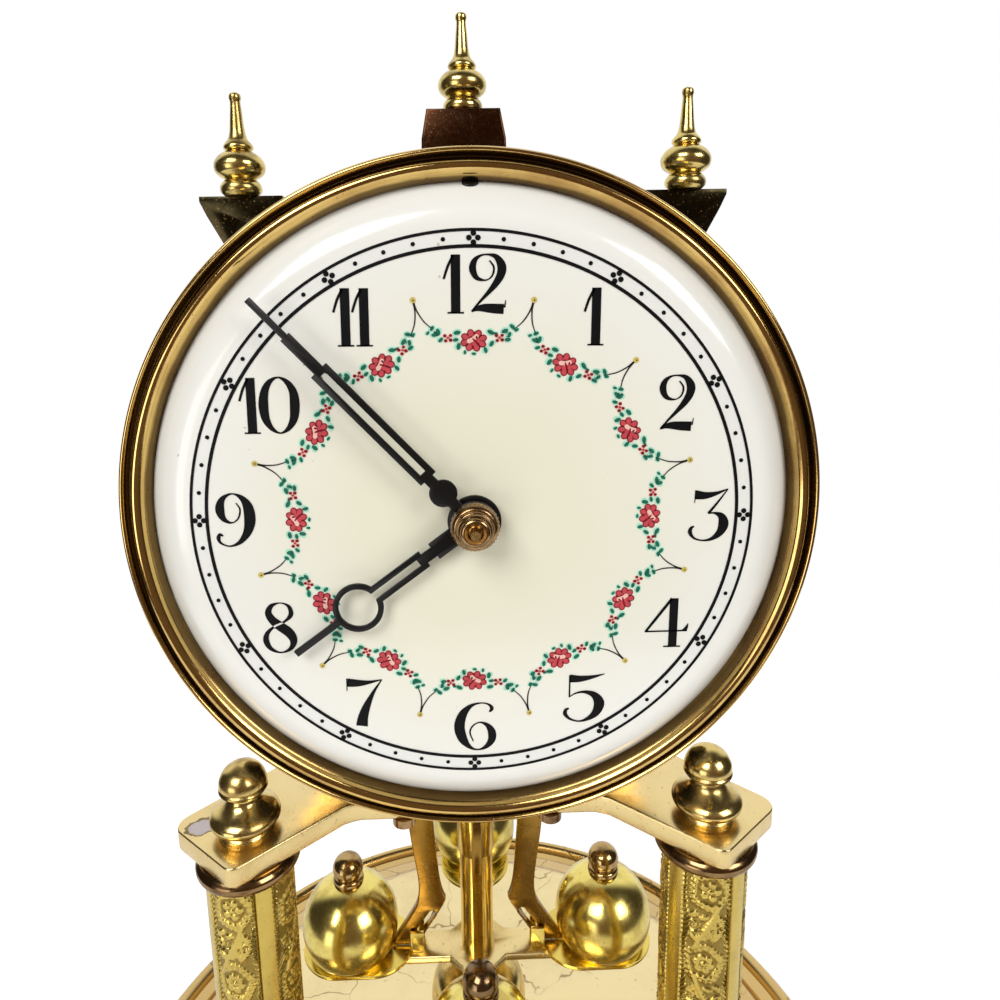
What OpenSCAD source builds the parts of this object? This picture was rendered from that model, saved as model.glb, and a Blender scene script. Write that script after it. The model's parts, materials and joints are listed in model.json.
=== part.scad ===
// Torsion pendulum clock. Millimetres, +Z up, the dial faces -Y.
// The origin is on the table, on the axis of the pendulum and the base.

/* [Base] */
// Largest radius of the spun base
base_r = 98; // [92:0.5:110]
// Height of the flat top of the base above the table
base_h = 27; // [25:0.5:34]
// Width of the moulding between the flat top and the edge of the base
rim_w = 24; // [20:0.5:25]
// Thickness of the spun sheet
sheet_t = 1.2; // [0.8:0.1:1.4]
// Height of the feet under the base
foot_h = 5; // [4:0.5:7]
// Radius of each foot
foot_r = 6; // [5:0.5:8]
// Distance of the feet's middles inside the edge of the base
foot_in = 20; // [12:0.5:24]
// Thickness of the disc that closes the base
bottom_t = 1.5; // [1:0.1:2]
// Height of the cup that guides the pendulum, above the base
cup_h = 38; // [34:0.5:39]
// Gap between the cup and the cross plate of the pendulum
cup_gap = 3.4; // [2:0.1:5]
// Radius of the cup's dome
cup_r = 11.5; // [10:0.25:12.5]
// Radius of the cup's bore
cup_bore_r = 4; // [3:0.25:5]

/* [Columns] */
// Length of the column tubes, which sets the height of the clock
column_len = 96.6; // [92:0.2:105]
// Distance of each column from the middle
column_x = 41.8; // [40:0.2:44]
// Distance of the columns in front of the pendulum
column_y = 37; // [36:0.2:38]
// Outer radius of the column tubes
column_r = 7.8; // [7:0.05:8.2]
// Wall of the column tubes
column_wall = 1.2; // [0.8:0.1:2]
// Radius of the collar under the top plate
top_collar_r = 9.2; // [8.6:0.1:10]
// Height of the collar under the top plate
top_collar_h = 3; // [2.5:0.1:4]
// Radius of the collar on the base
foot_collar_r = 10.4; // [9.5:0.1:11]
// Height of the collar on the base
foot_collar_h = 3.6; // [3:0.1:5]
// Radius of the tie rods inside the columns
rod_r = 2; // [1.5:0.1:2.2]
// Radius of the widest ring of the column nuts
column_nut_r = 6.2; // [5.8:0.1:6.8]
// Height of the column nuts
column_nut_h = 13.4; // [12:0.1:15]

/* [Top plate] */
// Gap between the rating disc and the top plate
plate_gap = 4.2; // [3:0.1:6]
// Thickness of the top plate
plate_t = 3.8; // [3:0.1:4.5]
// Reach of the plate beside each column
plate_end = 12.8; // [12.4:0.1:14]

/* [Movement] */
// Gap between the top plate and the lowest wheel
wheel_gap = 5.56; // [4:0.02:8]
// Thickness of the two movement plates
frame_t = 1.8; // [1.5:0.1:2]
// Rear face of the front movement plate, in front of the pendulum
front_in_y = 29.2; // [29:0.1:29.4]
// Front face of the rear movement plate, in front of the pendulum
back_in_y = 9; // [8.8:0.1:9.2]
// Radius of the pillars between the plates
pillar_r = 2.5; // [2:0.1:3]
// Distance of the ears from the middle
ear_x = 36.3; // [36:0.1:37.5]
// Height of the ears' top above the hands' axis
ear_top = 48.4; // [47:0.1:50]
// Half width of an ear
ear_w = 6.7; // [6:0.1:7.5]
// Height of the top block above the hands' axis
block_top = 61.8; // [61:0.1:63]
// Half width of the top block at its top
block_w = 6; // [5:0.1:7]
// Height of a finial
finial_h = 16; // [14:0.1:18]
// Radius of a finial's bulb
bulb_r = 4.05; // [3.6:0.05:4.5]

/* [Dial and hands] */
// Radius of the dial plate
dial_r = 46.6; // [46:0.1:48]
// Front face of the dial, in front of the pendulum
dial_y = 52; // [51:0.1:53]
// Thickness of the dial
dial_t = 0.8; // [0.5:0.1:1]
// How far the bezel laps over the dial's edge
bezel_lap = 1.2; // [0.8:0.1:2]
// Width of the bezel
bezel_w = 7.4; // [6.5:0.1:9]
// Length of the minute hand
minute_len = 43.9; // [40:0.1:44.5]
// Length of the hour hand
hour_len = 33.3; // [30:0.1:36]
// Thickness of a hand
hand_t = 0.5; // [0.4:0.05:0.6]
// Angle of the minute hand, clockwise from twelve
minute_angle = 317.1; // [0:0.1:360]
// Angle of the hour hand, clockwise from twelve
hour_angle = 233.6; // [0:0.1:360]

/* [Wheel train] */
// Module of the hour and minute train
train_m = 0.5; // [0.48:0.01:0.5]
// Module of the spring barrel's teeth
barrel_m = 0.6; // [0.58:0.01:0.6]
// Radius of the spring barrel
barrel_r = 21.5; // [20:0.1:22]
// Wall of the spring barrel
barrel_wall = 1; // [0.8:0.1:1.2]
// Radius of the arbors
arbor_r = 1.2; // [1:0.05:1.4]
// Running clearance of every arbor
run_gap = 0.05; // [0.03:0.01:0.08]
// Radius of the escape wheel
escape_r = 9; // [8.8:0.1:9.2]

/* [Pendulum] */
// Radius of each ball
ball_r = 11.5; // [11:0.1:12]
// Distance of the balls from the axis
ball_x = 30.8; // [30:0.1:32]
// Height of the balls' centres above their flat undersides
ball_sit = 6.65; // [6.2:0.05:8]
// Thickness of the cross plate
cross_t = 2; // [1.6:0.1:2.2]
// Half width of the cross plate's arms
arm_w = 3.8; // [3.5:0.1:4.2]
// Reach of the cross plate's arms
arm_len = 24; // [23:0.5:26]
// Thickness of a ball carrier
carrier_t = 0.9; // [0.7:0.1:1.2]
// Radius of the pendulum tube
tube_r = 3.9; // [3.6:0.1:4.1]
// Thickness of a strap
strap_t = 2.2; // [1.8:0.1:2.4]
// Height of the straps' hub
hub_h = 5; // [4:0.5:5.5]
// Height of the rating disc above the top of the straps' hub
rating_rise = 2.6; // [2.4:0.1:3.2]
// Thickness of the rating disc
rating_t = 2.4; // [2:0.1:3]
// Radius of the rating disc
rating_r = 8; // [7:0.1:10]
// Thickness of the suspension spring
spring_t = 0.12; // [0.1:0.01:0.15]
// Width of the suspension spring
spring_w = 0.9; // [0.6:0.05:1]

/* [Hidden] */
$fn = 96;
eps = 0.01;

// Colours
gold = [0.83, 0.68, 0.32];
pale = [0.86, 0.74, 0.45];
dark = [0.45, 0.33, 0.18];
steel = [0.62, 0.63, 0.65];
black = [0.05, 0.05, 0.05];
cream = [0.95, 0.94, 0.87];

// Base: everything is measured down from the flat top
base_plate_r = base_r - rim_w;
foot_circle_r = base_r - foot_in;
groove_in = 8.5;
rim_drop = 7;
rim_in = 2.4;
groove_drop = 9.5;
skirt_drop = 12;
rod_gap = 0.15;
bottom_z = foot_h;
cup_stud_r = 2;
cup_seat = base_h;
cup_bore_deep = 10;

// Train, each position is [x, z] from the hands' axis
wheel_t = 1.2;
pinion_len = 2.8;
great_n = 80;
second_pinion_n = 16;
second_n = 64;
centre_pinion_n = 16;
centre_n = 60;
third_pinion_n = 15;
third_n = 45;
escape_pinion_n = 15;
escape_n = 15;
cannon_n = 12;
minute_n = 36;
minute_pinion_n = 10;
hour_n = 40;
hour_m = train_m * (cannon_n + minute_n) / (minute_pinion_n + hour_n);
d_second = train_m * (second_n + centre_pinion_n) / 2;
d_barrel = barrel_m * (great_n + second_pinion_n) / 2;
d_third = train_m * (centre_n + third_pinion_n) / 2;
d_escape = train_m * (third_n + escape_pinion_n) / 2;
d_minute = train_m * (cannon_n + minute_n) / 2;
second_dir = -36.87;
second_xz = [d_second * cos(second_dir), d_second * sin(second_dir)];
barrel_dir = 224;
barrel_xz = [second_xz[0] + d_barrel * cos(barrel_dir), second_xz[1] + d_barrel * sin(barrel_dir)];
third_dir = 126.87;
third_xz = [d_third * cos(third_dir), d_third * sin(third_dir)];
escape_dir = acos(-third_xz[0] / d_escape);
escape_xz = [0, third_xz[1] + d_escape * sin(escape_dir)];
minute_dir = 200;
minute_xz = [d_minute * cos(minute_dir), d_minute * sin(minute_dir)];
anchor_rise = 12.6;
anchor_xz = [0, escape_xz[1] + anchor_rise];

// Heights, each from the piece below it
cross_z = base_h + cup_h + cup_gap + cross_t;
carrier_z = cross_z + 0.05;
ball_seat = carrier_z + carrier_t;
ball_z = ball_seat + ball_sit;
column_foot = base_h + foot_collar_h;
column_top = column_foot + column_len;
plate_bottom = column_top + top_collar_h;
plate_z = plate_bottom + plate_t;
rating_z = plate_bottom - plate_gap - rating_t;
spider_z = rating_z - rating_rise - hub_h;
strap_rise = spider_z - cross_z;
great_reach = barrel_m * (great_n / 2 + 0.72) - barrel_xz[1];
dial_z = plate_z + great_reach + wheel_gap;

// Columns
nut_flat = 4;
rod_end = 6;

// Plate: the bar lies behind the columns
bar_front = 31.5;
bar_back = 6;
bar_half = 21;
corner_r = 3;
front_r = 2.2;
screw_x = 14;

// Movement
front_y = front_in_y + frame_t;
back_y = back_in_y - frame_t;
plates_gap = front_in_y - back_in_y;
plate_w = 36;
plate_top_z = 46;
shoulder_z = 26;
neck_half = 20;
neck_z = 30;
strip_x = 5;
strip_w = 3;
strip_t = 1.2;
strip_z = 28;
foot_z = plate_z - dial_z;
pillar_hole = pillar_r - 0.9;
pillar_low = foot_z + 10.5;
pillars = [[-26, pillar_low], [26, pillar_low], [-29, 34], [29, 34]];
block_y0 = front_in_y;
block_deep = 10;
block_foot = 40;

// Dial
bezel_in_r = dial_r - bezel_lap;
bezel_r = bezel_in_r + bezel_w;
dial_back = dial_y - dial_t;
dial_foot_r = 1.6;
dial_post_angles = [30, 150, 270];
dial_foot_circle = 38;

// Layers along Y, measured in front of the pendulum
drum_front = front_in_y - 0.6;
great_y = 17.6;
second_y = 10.6;
centre_y = 14.4;
third_y = 21;
escape_y = 25;
motion_front = front_y;
cannon_y = motion_front + 6;
minute_wheel_y = cannon_y;
hour_wheel_y = motion_front + 9.6;

// Hands
hour_hand_y = dial_y + 1.5;
minute_hand_y = hour_hand_y + hand_t + 0.9;
hub_r = 3.9;
cannon_r = 1.8;
hour_pipe_r = 2.8;
nut_t = 2.2;
tip_r = 0.7;

// Winding
ratchet_r = 7;
ratchet_n = 20;
ratchet_t = 1.4;
square_r = 2.4;
winding_r = arbor_r + 1.4;
click_dir = 150;
click_off = 10.2;
click_pin_r = 0.9;
click_xz = [barrel_xz[0] + click_off * cos(click_dir), barrel_xz[1] + click_off * sin(click_dir)];

// Suspension
fork_rise = 46;
shelf_rise = 3.6;
fork_z = dial_z + fork_rise;
block_z = fork_z + shelf_rise;
spring_low = rating_z + 7;
pin_y = 4.4;
pin_r = 0.45;
fork_slot = 0.55;

// Pendulum
carrier_half = 9.2;
carrier_off = 4.2;
carrier_x = ball_x - 1.8;
cheek_len = 8;
cheek_w = 3.2;
cheek_t = 0.9;
ball_finial_r = 3.65;
slot_w = 1.7;
pin_x = 14.7;
pin_z = cross_z + 3.7;
slot_top_z = cross_z + 9.3;
strap_slope = 0.683;
strap_foot_gap = 0.9;
spider_up = 1.2;
tube_top = spider_z - 3;
guide_pin_r = 1.2;
rod_seat = 8;
tube_sleeve = 14.8;
sleeve_r = 2.6;
sleeve_h = hub_h + rating_rise - 0.8;
thread_r = 1.7;

module at(xz, y) {
    translate([xz[0], -y, dial_z + xz[1]])
        rotate([90, 0, 0])
            children();
}

// A wheel's outline: short flat topped teeth with side play
function tooth(n, m, k, ph) =
    let(p = 360 / n, a = ph + k * p, r = n * m / 2, ro = r + 0.72 * m, ri = r - 0.98 * m,
        w0 = 0.30 * p, w1 = 0.195 * p, w2 = 0.09 * p)
    [[ri, a - w0], [r, a - w1], [ro, a - w2], [ro, a + w2], [r, a + w1], [ri, a + w0]];

module gear(n, m, t, ph) {
    pts = [for (k = [0:n - 1]) for (q = tooth(n, m, k, ph)) [q[0] * cos(q[1]), q[0] * sin(q[1])]];
    linear_extrude(t)
        polygon(pts);
}

// Phase, in degrees, that puts a gap of a wheel of n teeth in the direction a
function gap_at(n, a) = a + 180 / n;

module disc(r, t, hole) {
    difference() {
        cylinder(r = r, h = t);
        translate([0, 0, -eps])
            cylinder(r = hole, h = t + 2 * eps);
    }
}

// A wheel with a rim, a web pierced by round holes, and a bore
module spoked(n, m, t, ph, hole) {
    web = n * m * 0.29;
    difference() {
        gear(n, m, t, ph);
        translate([0, 0, -eps])
            cylinder(r = hole, h = t + 2 * eps);
        for (k = [0:4])
            rotate(k * 72)
                translate([web, 0, -eps])
                    cylinder(r = web * 0.36, h = t + 2 * eps);
    }
}

// Base shell: flat top, a step down, the groove for a glass dome, a rounded rim and a skirt
module base_shell() {
    r0 = base_plate_r;
    gr = base_r - groove_in;
    color(gold)
        difference() {
            rotate_extrude($fn = 180)
                polygon([
                    [cup_stud_r, base_h], [r0, base_h], [r0 + 2, base_h - 0.7], [r0 + 4.4, base_h - 1.8],
                    [gr - 4.6, base_h - 5], [gr - 2, base_h - 8.2], [gr, base_h - groove_drop],
                    [gr + 3.4, base_h - groove_drop], [base_r - 4, base_h - rim_drop - 0.7],
                    [base_r - rim_in, base_h - rim_drop], [base_r - 0.9, base_h - rim_drop - 1.4],
                    [base_r, base_h - skirt_drop], [base_r, foot_h], [base_r - sheet_t, foot_h],
                    [base_r - sheet_t, base_h - skirt_drop - 1],
                    [base_r - 4, base_h - groove_drop - sheet_t],
                    [gr - 0.8, base_h - groove_drop - sheet_t], [gr - 3.2, base_h - 9.2],
                    [gr - 5.6, base_h - 6.2], [r0 + 3.8, base_h - 3], [r0 + 1.6, base_h - 0.7 - sheet_t],
                    [r0 - 0.2, base_h - sheet_t], [cup_stud_r, base_h - sheet_t]]);
            for (s = [-1, 1])
                translate([s * column_x, -column_y, 0])
                    cylinder(r = rod_r + rod_gap, h = base_h + 1);
        }
}

module base_bottom() {
    color(steel)
        translate([0, 0, bottom_z])
            cylinder(r = base_r - sheet_t - 0.1, h = bottom_t, $fn = 180);
}

module base_feet() {
    color(dark)
        for (a = [30, 150, 270])
            rotate(a)
                translate([foot_circle_r, 0, 0])
                    rotate_extrude()
                        polygon([[0, 0], [foot_r - 1, 0], [foot_r, 1], [foot_r, foot_h - 1.2],
                            [foot_r - 1.5, foot_h], [0, foot_h]]);
}

// Guide cup: the pendulum's pin hangs in its bore
module guide_cup() {
    z = cup_seat;
    color(gold)
        difference() {
            rotate_extrude()
                polygon([[0, z - sheet_t - 5], [cup_stud_r - 0.05, z - sheet_t - 5], [cup_stud_r - 0.05, z],
                    [cup_r - 0.8, z], [cup_r - 0.3, z + 1], [cup_r - 1.5, z + 2.2], [cup_r - 4.4, z + 4.2],
                    [cup_r - 5.8, z + 8], [cup_r - 6.2, z + cup_h - 22], [cup_r - 5, z + cup_h - 17],
                    [cup_r - 1.6, z + cup_h - 13.4], [cup_r, z + cup_h - 10], [cup_r, z + cup_h - 7.4],
                    [cup_r - 0.7, z + cup_h - 4.4], [cup_r - 2.2, z + cup_h - 2],
                    [cup_r - 4.6, z + cup_h - 0.4], [cup_r - 6, z + cup_h], [0, z + cup_h]]);
            translate([0, 0, z + cup_h - cup_bore_deep])
                cylinder(r = cup_bore_r, h = cup_bore_deep + 1);
        }
}

module hex_nut(r, hole, t) {
    difference() {
        cylinder(r = r, h = t, $fn = 6);
        translate([0, 0, -eps])
            cylinder(r = hole, h = t + 2 * eps, $fn = 48);
    }
}

module cup_nut() {
    color(steel)
        translate([0, 0, base_h - sheet_t - 2.6])
            hex_nut(nut_flat, cup_stud_r, 2.6);
}

module column_tube(s) {
    color(gold)
        translate([s * column_x, -column_y, column_foot])
            difference() {
                cylinder(r = column_r, h = column_top - column_foot);
                translate([0, 0, -eps])
                    cylinder(r = column_r - column_wall, h = column_top - column_foot + 2 * eps);
            }
}

module column_left() {
    column_tube(-1);
}

module column_right() {
    column_tube(1);
}

module foot_collars() {
    r = foot_collar_r;
    color(gold)
        for (s = [-1, 1])
            translate([s * column_x, -column_y, base_h])
                rotate_extrude()
                    polygon([[rod_r + rod_gap, 0], [r - 0.4, 0], [r, 0.8], [r - 0.5, 1.6], [r - 1.4, 2],
                        [r - 1.6, foot_collar_h - 0.6], [r - 2, foot_collar_h],
                        [rod_r + rod_gap, foot_collar_h]]);
}

module top_collars() {
    r = top_collar_r;
    h = top_collar_h;
    color(gold)
        for (s = [-1, 1])
            translate([s * column_x, -column_y, column_top])
                rotate_extrude()
                    polygon([[rod_r + rod_gap, 0], [r - 1.3, 0], [r - 0.5, 0.3], [r - 0.1, 0.9], [r, 1.5],
                        [r - 0.1, 2.1], [r - 0.5, h - 0.2], [r - 0.9, h], [rod_r + rod_gap, h]]);
}

module tie_rods() {
    color(steel)
        for (s = [-1, 1])
            translate([s * column_x, -column_y, foot_h + bottom_t + 4])
                cylinder(r = rod_r, h = plate_z + rod_end - foot_h - bottom_t - 4, $fn = 48);
}

module tie_rod_nuts() {
    color(steel)
        for (s = [-1, 1])
            translate([s * column_x, -column_y, base_h - sheet_t - 3])
                hex_nut(nut_flat, rod_r, 3);
}

// Column nut: grooved foot, waist and a domed button
module column_nuts() {
    r = column_nut_r;
    h = column_nut_h;
    color(gold)
        for (s = [-1, 1])
            translate([s * column_x, -column_y, plate_z])
                rotate_extrude()
                    polygon([[rod_r, 0], [r - 1.5, 0], [r - 1.3, 0.7], [r - 1.6, 1], [r - 0.9, 1.3],
                        [r - 1.1, 1.6], [r - 0.3, 2.1], [r, 2.8], [r - 0.15, 3.5], [r - 0.9, 4.3],
                        [r - 2.2, 5.2], [r - 3, 6], [r - 3.4, 6.9], [r - 3.4, 7.5], [r - 2.6, 7.9],
                        [r - 2.1, 8.1], [r - 1.9, 8.6], [r - 2.2, 9], [r - 2, 9.5], [r - 2.3, 10.6],
                        [r - 3, 11.8], [r - 4.1, h - 0.7], [r - 5.2, h - 0.15], [0, h], [0, rod_end],
                        [rod_r, rod_end]]);
}

// Top plate: a bar with square ends turned by 45 degrees, each round a column
function arc(c, r, a0, a1) =
    [for (i = [0:6]) let(a = a0 + (a1 - a0) * i / 6) c + r * [cos(a), sin(a)]];

module plate_outline() {
    x = column_x;
    y = -column_y;
    e = plate_end;
    for (s = [0, 1])
        mirror([s, 0])
            difference() {
                polygon(concat([[-eps, -bar_front], [bar_half, -bar_front],
                    [bar_half + 2.2, -bar_front - 0.2],
                    [bar_half + 4, -bar_front - 1.1]],
                    arc([x + 0.1, y - e + 5.3], front_r, -131, -49),
                    arc([x + e - corner_r, y + 1.6], corner_r, -49, 45),
                    [[bar_half + 6, -bar_back], [-eps, -bar_back]]));
                translate([x, y])
                    circle(r = rod_r + rod_gap);
            }
}

module top_plate() {
    color(pale)
        difference() {
            translate([0, 0, plate_bottom])
                linear_extrude(plate_t)
                    plate_outline();
            for (s = [-1, 1])
                for (y = [front_in_y + frame_t / 2, back_in_y - frame_t / 2])
                    translate([s * screw_x, -y, plate_bottom - 1])
                        cylinder(r = 1.1, h = plate_t + 2);
        }
}

// One movement plate in the XZ plane, narrow at its foot, with holes for the arbors and pillars
module movement_plate(y0, ears) {
    w = plate_w;
    f = foot_z;
    u = plate_w / 36;
    n = neck_half;
    e = ear_top;
    translate([0, -y0, dial_z])
        rotate([90, 0, 0])
            difference() {
                linear_extrude(frame_t)
                    union() {
                        polygon([[-w + 17 * u, f], [w - 17 * u, f], [w - 11 * u, f + 3.5 * u],
                            [w - 5 * u, f + 8 * u],
                            [w, f + 14 * u], [w, shoulder_z], [24 * u, plate_top_z - 6 * u],
                            [-24 * u, plate_top_z - 6 * u], [-w, shoulder_z], [-w, f + 14 * u],
                            [-w + 5 * u, f + 8 * u], [-w + 11 * u, f + 3.5 * u]]);
                        if (ears)
                            for (s = [0, 1])
                                mirror([s, 0, 0])
                                    difference() {
                                        polygon([[n, n], [ear_x - 2 * u, n],
                                            [ear_x + 1.4 * u, e - 12.4 * u],
                                            [ear_x + 3 * u, e - 8 * u], [ear_x + ear_w - u, e - 3 * u],
                                            [ear_x + ear_w, e - 0.8 * u], [ear_x + ear_w, e],
                                            [ear_x - ear_w, e],
                                            [ear_x - ear_w - u, e - 5 * u], [n, e - 12.4 * u]]);
                                        translate([ear_x, ear_top - 5])
                                            circle(r = 1);
                                    }
                        polygon([[-block_w - 3 * u, neck_z], [block_w + 3 * u, neck_z],
                            [block_w + 1.6 * u, block_foot + 14 * u],
                            [-block_w - 1.6 * u, block_foot + 14 * u]]);
                    }
                for (p = [second_xz, barrel_xz, third_xz, escape_xz, anchor_xz, [0, 0]])
                    translate([p[0], p[1], -eps])
                        cylinder(r = (p == barrel_xz ? winding_r : arbor_r) + run_gap, h = frame_t + 2 * eps);
                for (p = pillars)
                    translate([p[0], p[1], -eps])
                        cylinder(r = pillar_hole, h = frame_t + 2 * eps);
                if (!ears)
                    translate([click_xz[0], click_xz[1], -eps])
                        cylinder(r = click_pin_r + run_gap, h = frame_t + 2 * eps);
            }
}

module front_plate() {
    color(gold)
        union() {
            movement_plate(front_in_y, true);
            at(minute_xz, front_y - eps)
                cylinder(r = arbor_r, h = 10);
        }
}

module back_plate() {
    color(gold)
        movement_plate(back_y, false);
}

module movement_pillars() {
    color(gold)
        for (p = pillars)
            translate([p[0], -back_y + 2.6, dial_z + p[1]])
                rotate([90, 0, 0])
                    union() {
                        translate([0, 0, 2.6 + frame_t])
                            cylinder(r = pillar_r, h = plates_gap);
                        cylinder(r = pillar_hole - 0.05, h = plates_gap + 2 * frame_t + 5.2);
                    }
}

module pillar_nuts() {
    color(steel)
        for (p = pillars)
            for (y = [front_y, back_y - 2])
                translate([p[0], -y, dial_z + p[1]])
                    rotate([90, 0, 0])
                        hex_nut(3, pillar_hole, 2);
}

module plate_screws() {
    color(steel)
        for (s = [-1, 1])
            for (y = [front_in_y + frame_t / 2, back_in_y - frame_t / 2])
                translate([s * screw_x, -y, plate_bottom - 1.6])
                    union() {
                        cylinder(r = 2.2, h = 1.6);
                        cylinder(r = 0.85, h = plate_t + 1.6);
                    }
}

// Block between the plates that carries the middle finial and the suspension bracket
module top_block() {
    color(dark)
        translate([0, -block_y0, dial_z])
            rotate([90, 0, 0])
                translate([0, 0, -block_deep])
                    linear_extrude(block_deep)
                        polygon([[-block_w - 1.2, block_foot + 8.4], [block_w + 1.2, block_foot + 8.4],
                            [block_w + 0.9, block_top - 4.6], [block_w, block_top], [-block_w, block_top],
                            [-block_w - 0.9, block_top - 4.6]]);
}

module finial() {
    r = bulb_r;
    h = finial_h;
    rotate_extrude()
        polygon([[0, 0], [r - 1.5, 0], [r - 0.8, 0.6], [r - 0.75, 1.4], [r - 1.1, 2.2], [r - 1.6, 2.6],
            [r - 0.9, 3], [r - 0.2, 3.7], [r, 4.5], [r - 0.1, 5.2], [r - 0.7, 6.1], [r - 1.7, 6.8],
            [r - 2.2, 7], [r - 1.75, 7.3], [r - 1.7, 7.8], [r - 2, 8.3], [r - 2.5, 8.8], [r - 2.9, 10.2],
            [r - 3.15, h - 3.4], [r - 3.25, h - 1.6], [r - 3.1, h - 1], [r - 3.2, h - 0.4],
            [r - 3.6, h], [0, h]]);
}

module movement_finials() {
    color(dark)
        union() {
            for (s = [-1, 1])
                translate([s * ear_x, -front_in_y - frame_t / 2, dial_z + ear_top])
                    finial();
            translate([0, -block_y0 + block_deep / 2, dial_z + block_top])
                finial();
        }
}

module dial() {
    color(cream)
        at([0, 0], dial_back)
            difference() {
                cylinder(r = dial_r, h = dial_t, $fn = 180);
                translate([0, 0, -eps])
                    cylinder(r = hour_pipe_r + 0.35, h = dial_t + 2 * eps);
            }
}

module dial_posts() {
    color(gold)
        for (a = dial_post_angles)
            at([dial_foot_circle * cos(a), dial_foot_circle * sin(a)], front_y)
                cylinder(r = dial_foot_r, h = dial_back - front_y);
}

// Bezel: inner bead, broad rounded band, a groove and an outer rim behind
module bezel() {
    a = bezel_in_r;
    b = bezel_r;
    u = (b - a) / 8.9;
    color(gold)
        translate([0, -dial_y, dial_z])
            rotate([90, 0, 0])
                rotate_extrude($fn = 180)
                    polygon([[a, 0], [a, 0.9 * u], [a + 0.4 * u, 1.4 * u], [a + 0.9 * u, 1.5 * u],
                        [a + 1.3 * u, 1.1 * u], [a + 1.8 * u, 1.6 * u], [a + 2.6 * u, 2.6 * u],
                        [a + 3.6 * u, 3.1 * u],
                        [a + 4.8 * u, 3 * u], [a + 6 * u, 2.2 * u], [b - 2 * u, 0.6 * u], [b - 1.4 * u, -u],
                        [b - 1.2 * u, -2.8 * u], [b - 1.5 * u, -3.6 * u], [b - 0.9 * u, -4.1 * u],
                        [b - 0.3 * u, -4.6 * u], [b, -5.6 * u], [b - 0.2 * u, -6.7 * u],
                        [b - 0.8 * u, -7.4 * u],
                        [b - 1.6 * u, -7.6 * u], [b - 2.4 * u, -7 * u], [b - 2.5 * u, -3.6 * u],
                        [b - 2.6 * u, -1.6 * u], [b - 3.4 * u, -0.3 * u], [a + 3.8 * u, u],
                        [a + 1.4 * u, 0]]);
}

module cannon_pinion() {
    color(gold)
        at([0, 0], motion_front + 1)
            difference() {
                union() {
                    gear(cannon_n, train_m, 6.4, gap_at(cannon_n, minute_dir) + 180 / cannon_n);
                    cylinder(r = cannon_r, h = minute_hand_y + hand_t - motion_front - 1);
                }
                translate([0, 0, -eps])
                    cylinder(r = arbor_r, h = 40);
            }
}

module minute_wheel() {
    color(gold)
        at(minute_xz, minute_wheel_y - 1.2)
            difference() {
                union() {
                    gear(minute_n, train_m, wheel_t, gap_at(minute_n, minute_dir + 180));
                    gear(minute_pinion_n, hour_m, 4.6, minute_dir + 180);
                }
                translate([0, 0, -eps])
                    cylinder(r = arbor_r + run_gap, h = 6);
            }
}

module hour_wheel() {
    color(gold)
        at([0, 0], hour_wheel_y - 1.4)
            difference() {
                union() {
                    gear(hour_n, hour_m, wheel_t, gap_at(hour_n, minute_dir));
                    cylinder(r = hour_pipe_r, h = hour_hand_y + hand_t - hour_wheel_y + 1.4);
                }
                translate([0, 0, -eps])
                    cylinder(r = cannon_r + run_gap, h = 40);
            }
}

// A straight open bar of a hand from r0 to r1 with a long slot
module hand_bar(r0, r1, w, slot) {
    difference() {
        translate([-w / 2, r0])
            square([w, r1 - r0]);
        if (slot > 0)
            translate([-slot / 2, r0 + 1.1])
                square([slot, r1 - r0 - 1.9]);
    }
}

module minute_hand() {
    l = minute_len;
    color(black)
        at([0, 0], minute_hand_y)
            rotate(-minute_angle)
                linear_extrude(hand_t)
                    difference() {
                        union() {
                            circle(r = hub_r - 0.5);
                            translate([-0.8, 2])
                                square([1.6, 8]);
                            translate([0, 6.4])
                                circle(r = 2);
                            hand_bar(9.4, l - 13.2, 2.9, 1);
                            hand_bar(l - 13.4, l - 6.9, 1.6, 0);
                            hand_bar(l - 7.1, l, 0.9, 0);
                        }
                        circle(r = cannon_r);
                    }
}

module hour_hand() {
    l = hour_len;
    ring = l - 11.8;
    color(black)
        at([0, 0], hour_hand_y)
            rotate(-hour_angle)
                linear_extrude(hand_t)
                    difference() {
                        union() {
                            circle(r = hub_r);
                            translate([-1.4, 2])
                                square([2.8, 5.4]);
                            translate([-0.8, 7])
                                square([1.6, 3]);
                            difference() {
                                union() {
                                    hand_bar(9.2, ring, 2.8, 0);
                                    translate([0, ring])
                                        circle(r = 3.75);
                                }
                                translate([-0.55, 10.2])
                                    square([1.1, ring - 10.2]);
                                translate([0, ring])
                                    circle(r = 2.9);
                            }
                            hand_bar(ring + 3.4, l, 1.05, 0);
                        }
                        circle(r = hour_pipe_r);
                    }
}

// Hand nut: a black collet, a knurled steel-lined nut and a stepped front
module hand_nut() {
    y0 = minute_hand_y + hand_t;
    color(gold)
        at([0, 0], y0)
            difference() {
                union() {
                    cylinder(r = 3.3, h = nut_t);
                    for (k = [0:23])
                        rotate(k * 15)
                            translate([3.25, 0, 0.2])
                                cylinder(r = 0.2, h = nut_t - 0.4, $fn = 24);
                    cylinder(r = 2.7, h = nut_t + 0.5);
                    cylinder(r = 2.5, h = nut_t + 1.9);
                }
                translate([0, 0, -1])
                    cylinder(r = tip_r, h = nut_t + 4);
            }
}

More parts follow.
